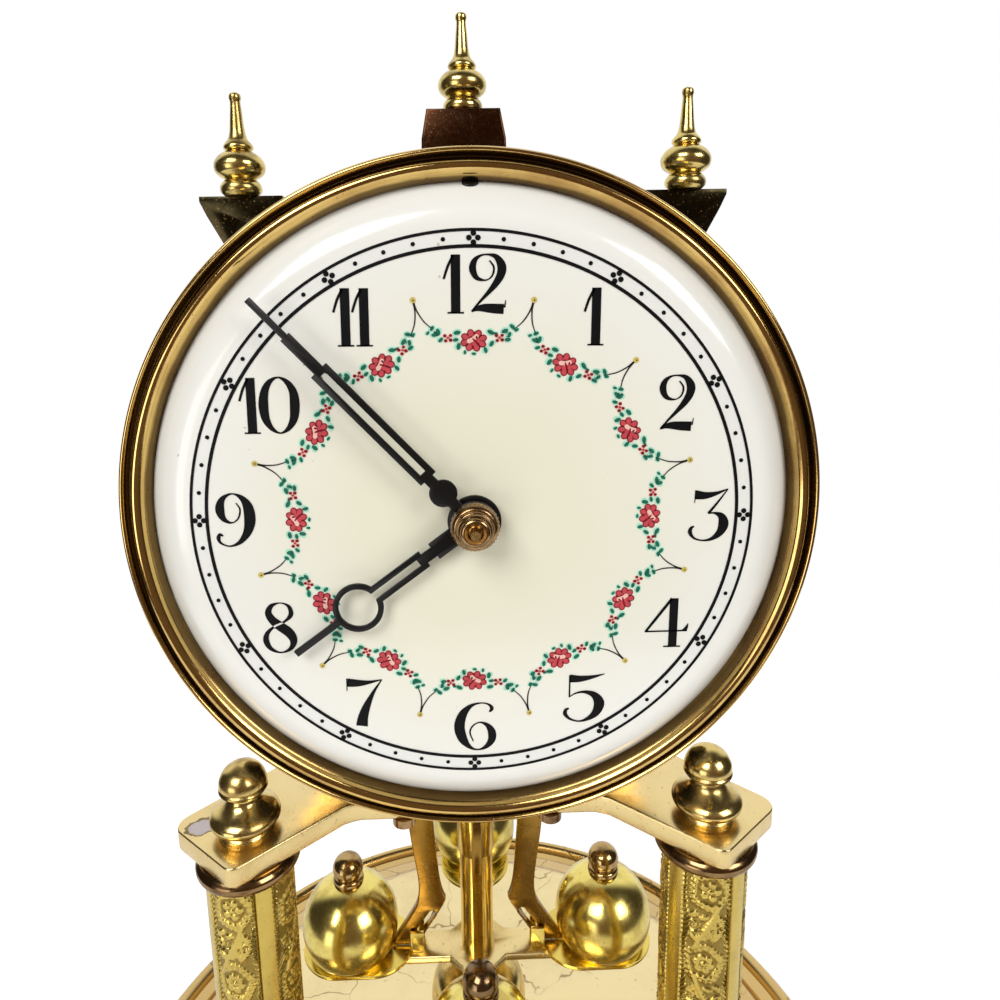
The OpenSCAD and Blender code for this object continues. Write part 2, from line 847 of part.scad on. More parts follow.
// Centre arbor with its pinion and wheel; the thin front end carries the hands
module centre_wheel() {
    color(gold)
        union() {
            at([0, 0], back_y - 0.6)
                cylinder(r = arbor_r, h = motion_front - back_y + 7);
            at([0, 0], motion_front)
                cylinder(r = tip_r, h = minute_hand_y + hand_t + nut_t + 2.9 - motion_front);
            at([0, 0], second_y - 0.8)
                gear(centre_pinion_n, train_m, pinion_len, second_dir);
            at([0, 0], centre_y)
                spoked(centre_n, train_m, wheel_t, gap_at(centre_n, third_dir), 1);
        }
}

module barrel() {
    t = 1.4;
    color(gold)
        at(barrel_xz, great_y)
            difference() {
                union() {
                    gear(great_n, barrel_m, t, gap_at(great_n, barrel_dir + 180));
                    translate([0, 0, t - eps])
                        cylinder(r = barrel_r, h = drum_front - great_y - t);
                }
                translate([0, 0, t])
                    cylinder(r = barrel_r - barrel_wall, h = drum_front - great_y - 2 * t);
                translate([0, 0, -eps])
                    cylinder(r = winding_r + run_gap, h = 30);
            }
}

module barrel_arbor() {
    r = winding_r;
    color(steel)
        at(barrel_xz, back_y - 2.4 - ratchet_t)
            union() {
                translate([0, 0, ratchet_t])
                    cylinder(r = r, h = front_y + 0.6 - back_y + 2.4);
                translate([0, 0, -5])
                    rotate(45)
                        cylinder(r = square_r, h = 6 + ratchet_t, $fn = 4);
            }
}

module mainspring() {
    t = 1.4;
    color(steel)
        at(barrel_xz, great_y + t + 0.3)
            disc(barrel_r - barrel_wall - 0.4, drum_front - great_y - 3 * t - 0.4, 9);
}

module ratchet_wheel() {
    n = ratchet_n;
    color(steel)
        at(barrel_xz, back_y - 0.4 - ratchet_t)
            difference() {
                linear_extrude(ratchet_t)
                    polygon([for (k = [0:n - 1]) for (q = [[ratchet_r - 1, 0], [ratchet_r, 14]])
                        [q[0] * cos(k * 360 / n + q[1]), q[0] * sin(k * 360 / n + q[1])]]);
                translate([0, 0, -eps])
                    cylinder(r = winding_r, h = ratchet_t + 1);
            }
}

// Click: a pawl on its own screw, its nose stands over a gap of the ratchet wheel
module click() {
    a = click_dir;
    color(steel)
        at(click_xz, back_y - 0.4 - ratchet_t)
            union() {
                linear_extrude(ratchet_t)
                    rotate(a)
                        union() {
                            circle(r = 2);
                            polygon([[-1.4, -2], [1.2, -1], [-0.6, -6.4], [-2.4, -6.8]]);
                        }
                cylinder(r = click_pin_r, h = ratchet_t + 0.4 + frame_t);
            }
}

// An arbor across the movement with a pinion and a wheel
module arbor(xz, pinion_n, pinion_m, pinion_y, pinion_h, pinion_ph) {
    at(xz, back_y)
        cylinder(r = arbor_r, h = front_y - back_y);
    at(xz, pinion_y)
        gear(pinion_n, pinion_m, pinion_h, pinion_ph);
}

module second_wheel() {
    color(gold)
        union() {
            arbor(second_xz, second_pinion_n, barrel_m, great_y - 1, pinion_len + 0.8, barrel_dir);
            at(second_xz, second_y)
                spoked(second_n, train_m, wheel_t, gap_at(second_n, second_dir + 180), 1);
        }
}

module third_wheel() {
    color(gold)
        union() {
            arbor(third_xz, third_pinion_n, train_m, centre_y - 0.6, pinion_len, third_dir + 180);
            at(third_xz, third_y)
                spoked(third_n, train_m, wheel_t, gap_at(third_n, escape_dir), 1);
        }
}

module escape_wheel() {
    n = escape_n;
    r = escape_r;
    color(gold)
        union() {
            arbor(escape_xz, escape_pinion_n, train_m, third_y - 0.8, pinion_len, escape_dir + 180);
            at(escape_xz, escape_y)
                linear_extrude(wheel_t)
                    difference() {
                        polygon([for (k = [0:n - 1]) for (q = [[r - 2, 0], [r, 9], [r, 10.2], [r - 2, 12]])
                            [q[0] * cos(k * 360 / n + q[1]), q[0] * sin(k * 360 / n + q[1])]]);
                        for (k = [0:3])
                            rotate(k * 90 + 45)
                                translate([4.4, 0])
                                    circle(r = 1.5);
                    }
        }
}

// Anchor: two pallets over the escape wheel, and the pin that the fork moves
module anchor() {
    r = escape_r;
    gap = 0.45;
    u = anchor_rise / 12.6;
    color(steel)
        union() {
            at(anchor_xz, pin_y - 0.7)
                cylinder(r = arbor_r, h = front_y - pin_y + 0.7);
            at(anchor_xz, escape_y - 0.2)
                linear_extrude(wheel_t + 0.4)
                    difference() {
                        union() {
                            circle(r = 2.6 * u);
                            for (s = [0, 1])
                                mirror([s, 0])
                                    polygon(u * [[0, 2.2], [7, 0.6], [9.4, -2.6], [8.2, -6.6], [6.4, -6],
                                        [7.4, -2.8], [5.6, -1], [0, -2.2]]);
                        }
                        translate([0, -anchor_rise])
                            circle(r = r + gap);
                    }
            translate([0, -pin_y, dial_z + anchor_xz[1]])
                cylinder(r = pin_r, h = fork_z + 1 - dial_z - anchor_xz[1], $fn = 32);
        }
}

// Bracket on the rear plate: an upright strip with a foot, and a shelf over the pendulum axis
module suspension_bracket() {
    z0 = dial_z + strip_z;
    z1 = block_z - 0.4 - strip_t;
    half = strip_x + strip_w / 2;
    color(gold)
        difference() {
            union() {
                for (s = [-1, 1])
                    translate([s * strip_x - strip_w / 2, -back_y, z0])
                        cube([strip_w, strip_t, z1 - z0 + strip_t]);
                translate([-half, -back_y, z1])
                    cube([2 * half, back_y + 4, strip_t]);
                translate([-half, -back_y, z0 - 5])
                    cube([2 * half, strip_t, 6]);
            }
            translate([0, 0, z1 - 1])
                cylinder(r = 1.2, h = 4);
            translate([0, -back_y + 2, z0 - 2])
                rotate([90, 0, 0])
                    cylinder(r = 1.1, h = 4);
        }
}

module suspension_block() {
    z1 = block_z - 0.4;
    color(gold)
        union() {
            translate([0, 0, z1])
                disc(3, 1.2, spring_w * 0.62);
            for (s = [-1, 1])
                translate([-2.2, s * 1.3 - 0.5, z1 + 1.2])
                    cube([4.4, 1, 3.4]);
        }
}

module suspension_spring() {
    color(steel)
        translate([-spring_w / 2, -spring_t / 2, spring_low])
            cube([spring_w, spring_t, block_z + 3.4 - spring_low]);
}

// Fork: a clamp on the spring, with two tines that reach forward round the anchor's pin
module fork() {
    color(gold)
        translate([0, 0, fork_z])
            difference() {
                union() {
                    translate([-2, -1.6, -1.2])
                        cube([4, 3.2, 2.4]);
                    for (s = [-1, 1])
                        translate([s * (pin_r + fork_slot - 0.3 + 0.35) - 0.35, -pin_y - 1.2, -0.4])
                            cube([0.7, pin_y + 1.2, 0.8]);
                }
                translate([0, 0, -2])
                    cylinder(r = spring_w * 0.62, h = 4, $fn = 32);
            }
}

// Hook block: holds the lower end of the spring, screwed to the pendulum's threaded rod
module pendulum_hook() {
    z = rating_z + rating_t + 0.6;
    color(gold)
        difference() {
            union() {
                translate([0, 0, z])
                    cylinder(r = 3.2, h = 1.6);
                translate([0, 0, z + 1.6 - eps])
                    cylinder(r = 2.6, h = 6);
                translate([0, 0, tube_top - rod_seat])
                    cylinder(r = thread_r, h = z - tube_top + rod_seat + eps);
            }
            translate([0, 0, spring_low - 1])
                cylinder(r = spring_w * 0.62, h = 8, $fn = 32);
        }
}

// Rating disc: its sleeve is the screw that lifts and lowers the straps
module rating_disc() {
    color(gold)
        translate([0, 0, rating_z])
            difference() {
                union() {
                    translate([0, 0, -sleeve_h])
                        cylinder(r = sleeve_r, h = sleeve_h + eps);
                    cylinder(r = rating_r - 0.25, h = rating_t);
                    for (k = [0:35])
                        rotate(k * 10)
                            translate([rating_r - 0.3, 0, 0])
                                cylinder(r = 0.3, h = rating_t, $fn = 24);
                }
                translate([0, 0, -sleeve_h - 1])
                    cylinder(r = thread_r + run_gap, h = sleeve_h + 5);
            }
}

module pendulum_tube() {
    z0 = cross_z;
    color(gold)
        difference() {
            union() {
                translate([0, 0, z0])
                    cylinder(r = tube_r, h = tube_top - z0);
                translate([0, 0, tube_top - tube_sleeve - 1.2])
                    cylinder(r = tube_r + 0.4, h = tube_sleeve);
                translate([0, 0, cross_z - cross_t - 6.5])
                    cylinder(r = guide_pin_r, h = cross_t + 7);
            }
            translate([0, 0, tube_top - rod_seat])
                cylinder(r = thread_r, h = rod_seat + 1);
        }
}

// One strap in the RZ plane: a lyre shaped flat bar with a slanted slot for the carrier's pin
module strap_outline() {
    c = cross_z;
    f = cross_z + strap_foot_gap;
    t = spider_z + hub_h;
    v = strap_rise / 45.6;
    difference() {
        polygon([[3, t], [9, t - 0.4 * v], [12.4, t - 2.2 * v], [14.8, t - 6 * v], [15.9, t - 11 * v],
            [15.8, t - 17 * v], [15, t - 24 * v], [14.1, t - 31 * v], [14, c + 15.6], [14.6, c + 12],
            [16.6, c + 8.2], [20.6, f + 0.8], [20.4, f], [14.6, f], [8.1, c + 11.8], [7.8, c + 13.2],
            [8.5, c + 15.6], [9.1, t - 31 * v], [9.6, t - 24 * v], [10, t - 16 * v], [9.4, t - 10 * v],
            [7.6, t - 6 * v], [5, t - 4.8 * v], [3, t - 4.6 * v]]);
        strap_slot();
    }
}

module strap_slot() {
    a = atan(strap_slope);
    low = pin_z - spider_up - 0.1;
    len = (slot_top_z - low) / cos(a);
    translate([pin_x + (pin_z - low) * strap_slope, low])
        union() {
            circle(r = slot_w / 2, $fn = 32);
            rotate(a)
                translate([-slot_w / 2, 0])
                    square([slot_w, len]);
            translate([-len * sin(a), len * cos(a)])
                circle(r = slot_w / 2, $fn = 32);
        }
}

module strap_spider() {
    color(gold)
        difference() {
            union() {
                translate([0, 0, spider_z])
                    cylinder(r = sleeve_r + 2.4, h = hub_h);
                for (a = [0, 90, 180, 270])
                    rotate(a)
                        translate([0, strap_t / 2, 0])
                            rotate([90, 0, 0])
                                linear_extrude(strap_t)
                                    strap_outline();
            }
            translate([0, 0, spider_z - 1])
                cylinder(r = sleeve_r + run_gap, h = hub_h + 3);
        }
}

module cross_plate() {
    w = arm_w;
    c = arm_w + 3;
    color(pale)
        translate([0, 0, cross_z - cross_t])
            difference() {
                linear_extrude(cross_t)
                    union() {
                        polygon([[-w, -c], [w, -c], [c, -w], [c, w], [w, c], [-w, c], [-c, w], [-c, -w]]);
                        for (a = [0, 90])
                            rotate(a)
                                translate([-arm_len, -w])
                                    square([2 * arm_len, 2 * w]);
                    }
                translate([0, 0, -eps])
                    cylinder(r = guide_pin_r, h = cross_t + 1);
            }
}

// A ball's carrier: an oval pad on the arm, two cheeks beside the strap and a pin through its slot
module carrier() {
    g = strap_t / 2 + 0.35;
    color(gold)
        difference() {
            union() {
                translate([carrier_x, 0, carrier_z])
                    linear_extrude(carrier_t)
                        union() {
                            translate([-carrier_off, 0])
                                circle(r = carrier_half);
                            translate([carrier_off, 0])
                                circle(r = carrier_half);
                            translate([-carrier_off, -carrier_half])
                                square([2 * carrier_off, 2 * carrier_half]);
                        }
                for (s = [-1, 1])
                    translate([pin_x - cheek_w / 2, s * (g + cheek_t / 2) - cheek_t / 2, carrier_z])
                        union() {
                            cube([cheek_len, cheek_t, carrier_t]);
                            cube([cheek_w, cheek_t, pin_z - carrier_z + 1.5]);
                        }
                translate([pin_x, g + cheek_t, pin_z])
                    rotate([90, 0, 0])
                        cylinder(r = 0.65, h = 2 * (g + cheek_t), $fn = 32);
            }
            translate([0, -g, carrier_z - 1])
                cube([pin_x - cheek_w / 2 + cheek_len + 0.5, 2 * g, carrier_t + 1 + 0.3]);
        }
}

module spun(a) {
    rotate(a)
        children();
}

module carrier_left() {
    spun(180)
        carrier();
}

module carrier_right() {
    spun(0)
        carrier();
}

module carrier_front() {
    spun(270)
        carrier();
}

module carrier_rear() {
    spun(90)
        carrier();
}

// A ball: a hollow brass shell, flat where it sits on its carrier
module ball() {
    color(gold)
        translate([ball_x, 0, 0])
            difference() {
                translate([0, 0, ball_z])
                    sphere(r = ball_r);
                translate([-20, -20, ball_z - 30])
                    cube([40, 40, 30 - (ball_z - ball_seat)]);
            }
}

module ball_left() {
    spun(180)
        ball();
}

module ball_right() {
    spun(0)
        ball();
}

module ball_front() {
    spun(270)
        ball();
}

module ball_rear() {
    spun(90)
        ball();
}

// The button on each ball
module ball_finial() {
    r = ball_finial_r;
    color(dark)
        translate([ball_x, 0, ball_z])
            difference() {
                rotate_extrude()
                    polygon([[0, ball_r - 2], [r - 0.2, ball_r - 2], [r, ball_r + 0.6],
                        [r - 0.25, ball_r + 1.2],
                        [r - 0.9, ball_r + 1.5], [r - 0.95, ball_r + 1.9], [r - 0.2, ball_r + 2.3],
                        [r - 0.05, ball_r + 3], [r - 0.25, ball_r + 4.2], [r - 0.9, ball_r + 5.4],
                        [r - 2, ball_r + 6.3], [r - 2.9, ball_r + 6.6], [0, ball_r + 6.7]]);
                sphere(r = ball_r + 0.005);
            }
}

module ball_finial_left() {
    spun(180)
        ball_finial();
}

module ball_finial_right() {
    spun(0)
        ball_finial();
}

module ball_finial_front() {
    spun(270)
        ball_finial();
}

module ball_finial_rear() {
    spun(90)
        ball_finial();
}

base_shell();
base_bottom();
base_feet();
guide_cup();
cup_nut();
column_left();
column_right();
foot_collars();
top_collars();
tie_rods();
tie_rod_nuts();
column_nuts();
top_plate();
front_plate();
back_plate();
movement_pillars();
pillar_nuts();
plate_screws();
top_block();
movement_finials();
dial();
dial_posts();
bezel();
cannon_pinion();
minute_wheel();
hour_wheel();
minute_hand();
hour_hand();
hand_nut();
centre_wheel();
barrel();
barrel_arbor();
mainspring();
ratchet_wheel();
click();
second_wheel();
third_wheel();
escape_wheel();
anchor();
suspension_bracket();
suspension_block();
suspension_spring();
fork();
pendulum_hook();
pendulum_tube();
rating_disc();
strap_spider();
cross_plate();
carrier_left();
carrier_right();
carrier_front();
carrier_rear();
ball_left();
ball_right();
ball_front();
ball_rear();
ball_finial_left();
ball_finial_right();
ball_finial_front();
ball_finial_rear();
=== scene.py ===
import json
from math import asin, atan, cos, pi, radians, sin, sqrt, tau
import bpy
import bmesh
import numpy as np
from mathutils import Matrix, Vector


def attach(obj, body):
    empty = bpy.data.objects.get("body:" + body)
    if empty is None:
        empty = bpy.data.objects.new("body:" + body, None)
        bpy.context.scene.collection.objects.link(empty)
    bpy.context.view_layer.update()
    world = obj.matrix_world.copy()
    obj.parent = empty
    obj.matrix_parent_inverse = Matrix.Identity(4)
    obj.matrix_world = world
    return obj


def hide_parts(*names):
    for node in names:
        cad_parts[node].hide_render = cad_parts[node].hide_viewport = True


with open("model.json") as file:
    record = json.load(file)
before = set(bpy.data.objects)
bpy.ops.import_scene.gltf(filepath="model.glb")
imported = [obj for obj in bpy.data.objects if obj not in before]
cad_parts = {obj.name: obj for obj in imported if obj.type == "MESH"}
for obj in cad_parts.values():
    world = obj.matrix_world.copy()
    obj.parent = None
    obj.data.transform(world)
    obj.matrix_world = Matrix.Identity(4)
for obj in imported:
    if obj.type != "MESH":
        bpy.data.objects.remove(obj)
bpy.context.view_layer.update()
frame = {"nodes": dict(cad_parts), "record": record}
nodes = frame["nodes"]
scene = bpy.context.scene
MM = 0.001
ORIGIN = (0.0, 0.0, 0.0)

# Sizes repeated from the part's source, in millimetres
BASE_R, BASE_H, PLATE_R, FOOT_H = 98.0, 27.0, 74.0, 5.0
CUP_R, CUP_H = 11.5, 38.0
COL_X, COL_Y, COL_R, COL_FOOT, COL_TOP = 41.8, -37.0, 7.8, 30.6, 127.2
PLATE_Z, PLATE_T = 134.0, 3.8
DIAL_Y, DIAL_Z, DIAL_T, DIAL_HOLE_R = -52.0, 195.998, 0.8, 3.15
FRONT_PLATE_Y, FRONT_PLATE_T = -30.1, 1.8
EAR_X, EAR_TOP, EAR_HOLE_DROP = 36.3, 48.4, 5.0
BLOCK_Y, BLOCK_TOP, BLOCK_DEEP = -24.2, 61.8, 10.0
CROSS_Z, SEAT_Z, SPIDER_Z, STRAP_T = 70.4, 71.35, 116.0, 2.2
SLOT_Z, SLOT_SLOPE = 74.1, 0.683
BALL_X, BALL_Z, BALL_R = 30.8, 78.0, 11.5

# Radii of the dial's minute track: its two circles, and the dots between them
TRACK_IN, TRACK_OUT, TRACK_DOTS = 38.8, 41.0, 39.9

# The camera fitted to the photograph: pixels of a picture 1000 wide, degrees, and millimetres
FOCAL, CENTRE = 737.77, (474.48, 424.17)
YAW_PITCH_ROLL = (1.4168, 10.5062, 1.0664)
EYE = (-2.262, -155.886, 229.203)


def link(thing):
    scene.collection.objects.link(thing)
    return thing


def make_camera():
    yaw, pitch, roll = (radians(a) for a in YAW_PITCH_ROLL)
    forward = Vector((sin(yaw) * cos(pitch), cos(yaw) * cos(pitch), -sin(pitch)))
    right = Vector((cos(yaw), -sin(yaw), 0.0))
    down = forward.cross(right)
    side = cos(roll) * right + sin(roll) * down
    drop = -sin(roll) * right + cos(roll) * down
    data = bpy.data.cameras.new("camera")
    data.sensor_fit = "HORIZONTAL"
    data.sensor_width = 36.0
    data.lens = FOCAL / 1000.0 * 36.0
    data.shift_x = (500.0 - CENTRE[0]) / 1000.0
    data.shift_y = (CENTRE[1] - 500.0) / 1000.0
    data.clip_start = 0.005
    data.clip_end = 20.0
    scene.camera = link(bpy.data.objects.new("camera", data))
    turn = Matrix((side, -drop, -forward)).transposed().to_4x4()
    scene.camera.matrix_world = Matrix.Translation(Vector(EYE) * MM) @ turn


make_camera()


# Shader trees
class Tree:
    """Adds nodes to a shader tree. An input takes a number, a colour, a vector or another node's output."""

    def __init__(self, tree):
        self.tree = tree
        tree.nodes.clear()

    def fill(self, node, inputs):
        for key, value in inputs.items():
            if isinstance(value, bpy.types.NodeSocket):
                self.tree.links.new(value, node.inputs[key])
            else:
                node.inputs[key].default_value = value

    def add(self, kind, inputs=None, **settings):
        node = self.tree.nodes.new("ShaderNode" + kind)
        for key, value in settings.items():
            setattr(node, key, value)
        self.fill(node, inputs or {})
        return node

    def use(self, tree, inputs):
        return self.add("Group", inputs, node_tree=tree).outputs

    def math(self, operation, a, b=0.0, clamp=False):
        return self.add("Math", {0: a, 1: b}, operation=operation, use_clamp=clamp).outputs[0]

    def times(self, a, b, clamp=False):
        return self.math("MULTIPLY", a, b, clamp)

    def plus(self, a, b, clamp=False):
        return self.math("ADD", a, b, clamp)

    def minus(self, a, b, clamp=False):
        return self.math("SUBTRACT", a, b, clamp)

    def ramp(self, value, low, high, out_low=0.0, out_high=1.0):
        inputs = dict(enumerate((value, low, high, out_low, out_high)))
        return self.add("MapRange", inputs, interpolation_type="SMOOTHSTEP").outputs[0]

    def blend(self, amount, a, b):
        return self.add("Mix", {0: amount, 6: a, 7: b}, data_type="RGBA").outputs[2]

    def noise(self, vector, scale, detail=3.0, rough=0.55, out="Fac"):
        inputs = {"Vector": vector, "Scale": scale, "Detail": detail, "Roughness": rough}
        return self.add("TexNoise", inputs).outputs[out]

    def stretch(self, vector, scale, shift=ORIGIN, turn=ORIGIN):
        inputs = {"Vector": vector, "Location": shift, "Rotation": turn, "Scale": scale}
        return self.add("Mapping", inputs).outputs[0]

    def length(self, vector):
        return self.add("VectorMath", {0: vector}, operation="LENGTH").outputs["Value"]

    def parts(self, vector):
        return self.add("SeparateXYZ", {0: vector}).outputs

    def hypot(self, x, y):
        return self.math("SQRT", self.plus(self.math("POWER", x, 2.0), self.math("POWER", y, 2.0)))

    def bump(self, height, strength, distance, normal=None):
        node = self.add("Bump", {"Strength": strength, "Distance": distance, "Height": height})
        if normal:
            self.fill(node, {"Normal": normal})
        return node.outputs[0]


def group(name, inputs, build):
    """A node group; an input is a number, a colour, or None for a vector, and build returns the outputs."""
    tree = bpy.data.node_groups.new(name, "ShaderNodeTree")
    for label, value in inputs.items():
        kind = "Vector" if value is None else "Float" if isinstance(value, float) else "Color"
        socket = tree.interface.new_socket(label, in_out="INPUT", socket_type="NodeSocket" + kind)
        if value is not None:
            socket.default_value = value
    t = Tree(tree)
    results = build(t, tree.nodes.new("NodeGroupInput").outputs)
    for label in results:
        kind = "NodeSocketColor" if label == "Color" else "NodeSocketFloat"
        tree.interface.new_socket(label, in_out="OUTPUT", socket_type=kind)
    t.fill(tree.nodes.new("NodeGroupOutput"), results)
    return tree


def aged_brass(t, s):
    """Lacquered brass that has aged: clouds of tarnish, fine dark pits, short scratches."""
    clouds = t.ramp(t.noise(s["Vector"], s["Cloud Scale"], 4.0, 0.6), 0.42, 0.72)
    pits = t.ramp(t.noise(s["Vector"], s["Speck Scale"], 2.0, 0.6), 0.66, 0.74)
    grime = t.times(clouds, s["Tarnish"], True)
    spots = t.times(pits, s["Pits"], True)
    colour = t.blend(spots, t.blend(grime, s["Clean"], s["Old"]), (0.10, 0.055, 0.02, 1.0))
    hair = t.noise(t.stretch(s["Vector"], (1400.0, 260.0, 1400.0), turn=(0.3, 0.5, 0.8)), 1.0, 2.0, 0.7)
    rough = t.plus(s["Gloss"], t.times(grime, 0.16))
    rough = t.plus(rough, t.times(t.minus(hair, 0.5), s["Scratch"]))
    rough = t.plus(rough, t.times(spots, 0.25), True)
    height = t.minus(t.times(hair, 0.35), t.times(pits, 0.5))
    return {"Color": colour, "Roughness": rough, "Height": height, "Grime": grime}


def lathe_lines(t, s):
    """Fine rings left by turning or spinning, round the local Z axis of the vector."""
    x, y, z = t.parts(s["Vector"])
    along = t.add("CombineXYZ", {0: t.times(t.hypot(x, y), s["Density"]), 1: t.times(z, s["Density"])})
    return {"Height": t.noise(along.outputs[0], 1.0, 3.0, 0.75)}


def lacquer_cracks(t, s):
    """A few long thin cracks in old lacquer."""
    bend = t.noise(s["Vector"], t.times(s["Scale"], 1.6), 3.0, 0.6, "Color")
    moved = t.add("VectorMath", {0: bend, 1: (0.012, 0.012, 0.012), 2: s["Vector"]}, operation="MULTIPLY_ADD")
    cells = t.add("TexVoronoi", {"Vector": moved.outputs[0], "Scale": s["Scale"]}, feature="DISTANCE_TO_EDGE")
    line = t.ramp(cells.outputs["Distance"], s["Width"], 0.0)
    some = t.ramp(t.noise(s["Vector"], t.times(s["Scale"], 0.9), 2.0), 0.44, 0.58)
    return {"Mask": t.times(line, some)}


def pressed_depth(t, s):
    """How far below the full radius a point of a pressed column lies, for both columns at once."""
    x, y, z = t.parts(s["Vector"])
    radius = t.hypot(t.minus(t.math("ABSOLUTE", x), COL_X * MM), t.minus(y, COL_Y * MM))
    return {"Mask": t.ramp(radius, (COL_R - 0.20) * MM, (COL_R - 0.42) * MM)}


def rubbed_spot(t, s):
    """A spot rubbed through to the white metal, with a ragged dark border."""
    away = t.add("VectorMath", {0: s["Vector"], 1: s["Place"]}, operation="DISTANCE").outputs["Value"]
    edge = t.plus(away, t.times(t.minus(t.noise(s["Vector"], 420.0, 3.0, 0.65), 0.5), 0.0028))
    inner = t.ramp(edge, t.times(s["Radius"], 0.92), t.times(s["Radius"], 0.75))
    border = t.minus(t.ramp(edge, t.times(s["Radius"], 1.12), s["Radius"]), inner, True)
    return {"Inside": inner, "Border": border}


AGED = group("aged_brass", {"Vector": None, "Clean": (0.8, 0.6, 0.25, 1.0), "Old": (0.3, 0.18, 0.07, 1.0),
    "Tarnish": 0.4, "Cloud Scale": 60.0, "Speck Scale": 1500.0, "Pits": 0.4, "Gloss": 0.2, "Scratch": 0.15},
    aged_brass)
LATHE = group("lathe_lines", {"Vector": None, "Density": 4000.0}, lathe_lines)
CRACKS = group("lacquer_cracks", {"Vector": None, "Scale": 40.0, "Width": 0.012}, lacquer_cracks)
PRESSED = group("pressed_depth", {"Vector": None}, pressed_depth)
RUBBED = group("rubbed_spot", {"Vector": None, "Place": None, "Radius": 0.003}, rubbed_spot)

# Materials by name, and the depth of the metals' finest relief in metres
PAINT = {}
GRAIN = 0.00004


def surface(name):
    material = bpy.data.materials.new(name)
    material.use_nodes = True
    t = Tree(material.node_tree)
    bsdf = t.add("BsdfPrincipled")
    t.add("OutputMaterial", {0: bsdf.outputs[0]})
    PAINT[name] = material
    return t, bsdf, t.add("TexCoord").outputs["Object"]


def dial_radius(t, where):
    """Distance from the hands' axis."""
    return t.length(t.stretch(where, (1.0, 0.0, 1.0), (0.0, 0.0, -DIAL_Z * MM)))


def metal(name, clean, old, tarnish, clouds, specks, pits, gloss, scratch, bump, lathe=None, rim=None, rings=(),
          pressed=0.0, flecks=0.0, cracks=0.0, rubbed=None):
    """Aged brass or bronze with the colour of its tarnish; each option adds one feature.

    lathe: density, strength, place and turn of the turning lines; rim: colour outside the base's flat top;
    rings: dark bands of painted shade and grime over the bezel's two grooves, as inner and outer radius in
    millimetres and strength."""
    t, bsdf, where = surface(name)
    old = old + (1.0,)
    age = t.use(AGED, {"Vector": where, "Clean": clean + (1.0,), "Old": old, "Tarnish": tarnish,
        "Cloud Scale": clouds, "Speck Scale": specks, "Pits": pits, "Gloss": gloss, "Scratch": scratch})
    colour, rough, height = age["Color"], age["Roughness"], age["Height"]

    def cover(amount, tint, rougher):
        return t.blend(amount, colour, tint), t.plus(rough, t.times(amount, rougher), True)

    if rim:
        radius = t.length(t.stretch(where, (1.0, 1.0, 0.0)))
        outside = t.ramp(radius, (PLATE_R - 0.4) * MM, (PLATE_R + 3.0) * MM)
        colour = t.blend(outside, colour, t.blend(age["Grime"], rim + (1.0,), old))
    # Dark bands over the bezel's grooves: painted shade, and grime
    if rings:
        wobble = t.times(t.minus(t.noise(where, 90.0, 3.0), 0.5), 0.0006)
        radius = t.plus(dial_radius(t, where), wobble)
        for low, high, amount in rings:
            band = t.times(t.ramp(radius, (low - 0.25) * MM, (low + 0.15) * MM),
                t.ramp(radius, (high + 0.25) * MM, (high - 0.15) * MM))
            colour, rough = cover(t.times(band, amount), (0.045, 0.022, 0.012, 1.0), 0.15)
    # The pressed columns' recesses take the tarnish colour: tarnish and painted shade
    if pressed:
        colour, rough = cover(t.times(t.use(PRESSED, {"Vector": where})["Mask"], pressed), old, 0.2)
    if flecks:
        bright = t.ramp(t.noise(where, flecks, 3.0, 0.7), 0.60, 0.68)
        colour = t.blend(t.times(bright, 0.5), colour, (0.36, 0.25, 0.09, 1.0))
    if cracks:
        dark = t.times(t.use(CRACKS, {"Vector": where})["Mask"], cracks)
        colour, rough = cover(dark, (0.22, 0.14, 0.06, 1.0), 0.3)
        height = t.minus(height, dark)
    if rubbed:
        spot = t.use(RUBBED, {"Vector": where, "Place": rubbed, "Radius": 0.0024})
        colour, rough = cover(spot["Inside"], (0.60, 0.53, 0.52, 1.0), 0.25)
        colour = t.blend(t.times(spot["Border"], 0.8), colour, (0.07, 0.045, 0.03, 1.0))
    normal = t.bump(height, bump, GRAIN)
    if lathe:
        density, strength, place, turn = lathe
        lines = t.use(LATHE, {"Vector": t.stretch(where, (1.0, 1.0, 1.0), place, turn), "Density": density})
        normal = t.bump(lines["Height"], strength, GRAIN, normal)
    t.fill(bsdf, {"Metallic": 1.0, "Base Color": colour, "Roughness": rough, "Normal": normal})


def plain(name, colour, rough=0.45, shine=0.2, mottle=0.06):
    """Paint, enamel or rubber with a slight mottle."""
    t, bsdf, where = surface(name)
    cloud = t.noise(where, 300.0, 4.0, 0.6)
    darker = tuple(c * (1.0 - 4.0 * mottle) for c in colour)
    t.fill(bsdf, {"Specular IOR Level": shine, "Normal": t.bump(cloud, 0.05, 0.00003),
        "Base Color": t.blend(t.ramp(cloud, 0.3, 0.8), colour + (1.0,), darker + (1.0,)),
        "Roughness": t.ramp(cloud, 0.2, 0.8, rough * 0.85, min(1.0, rough * 1.2))})


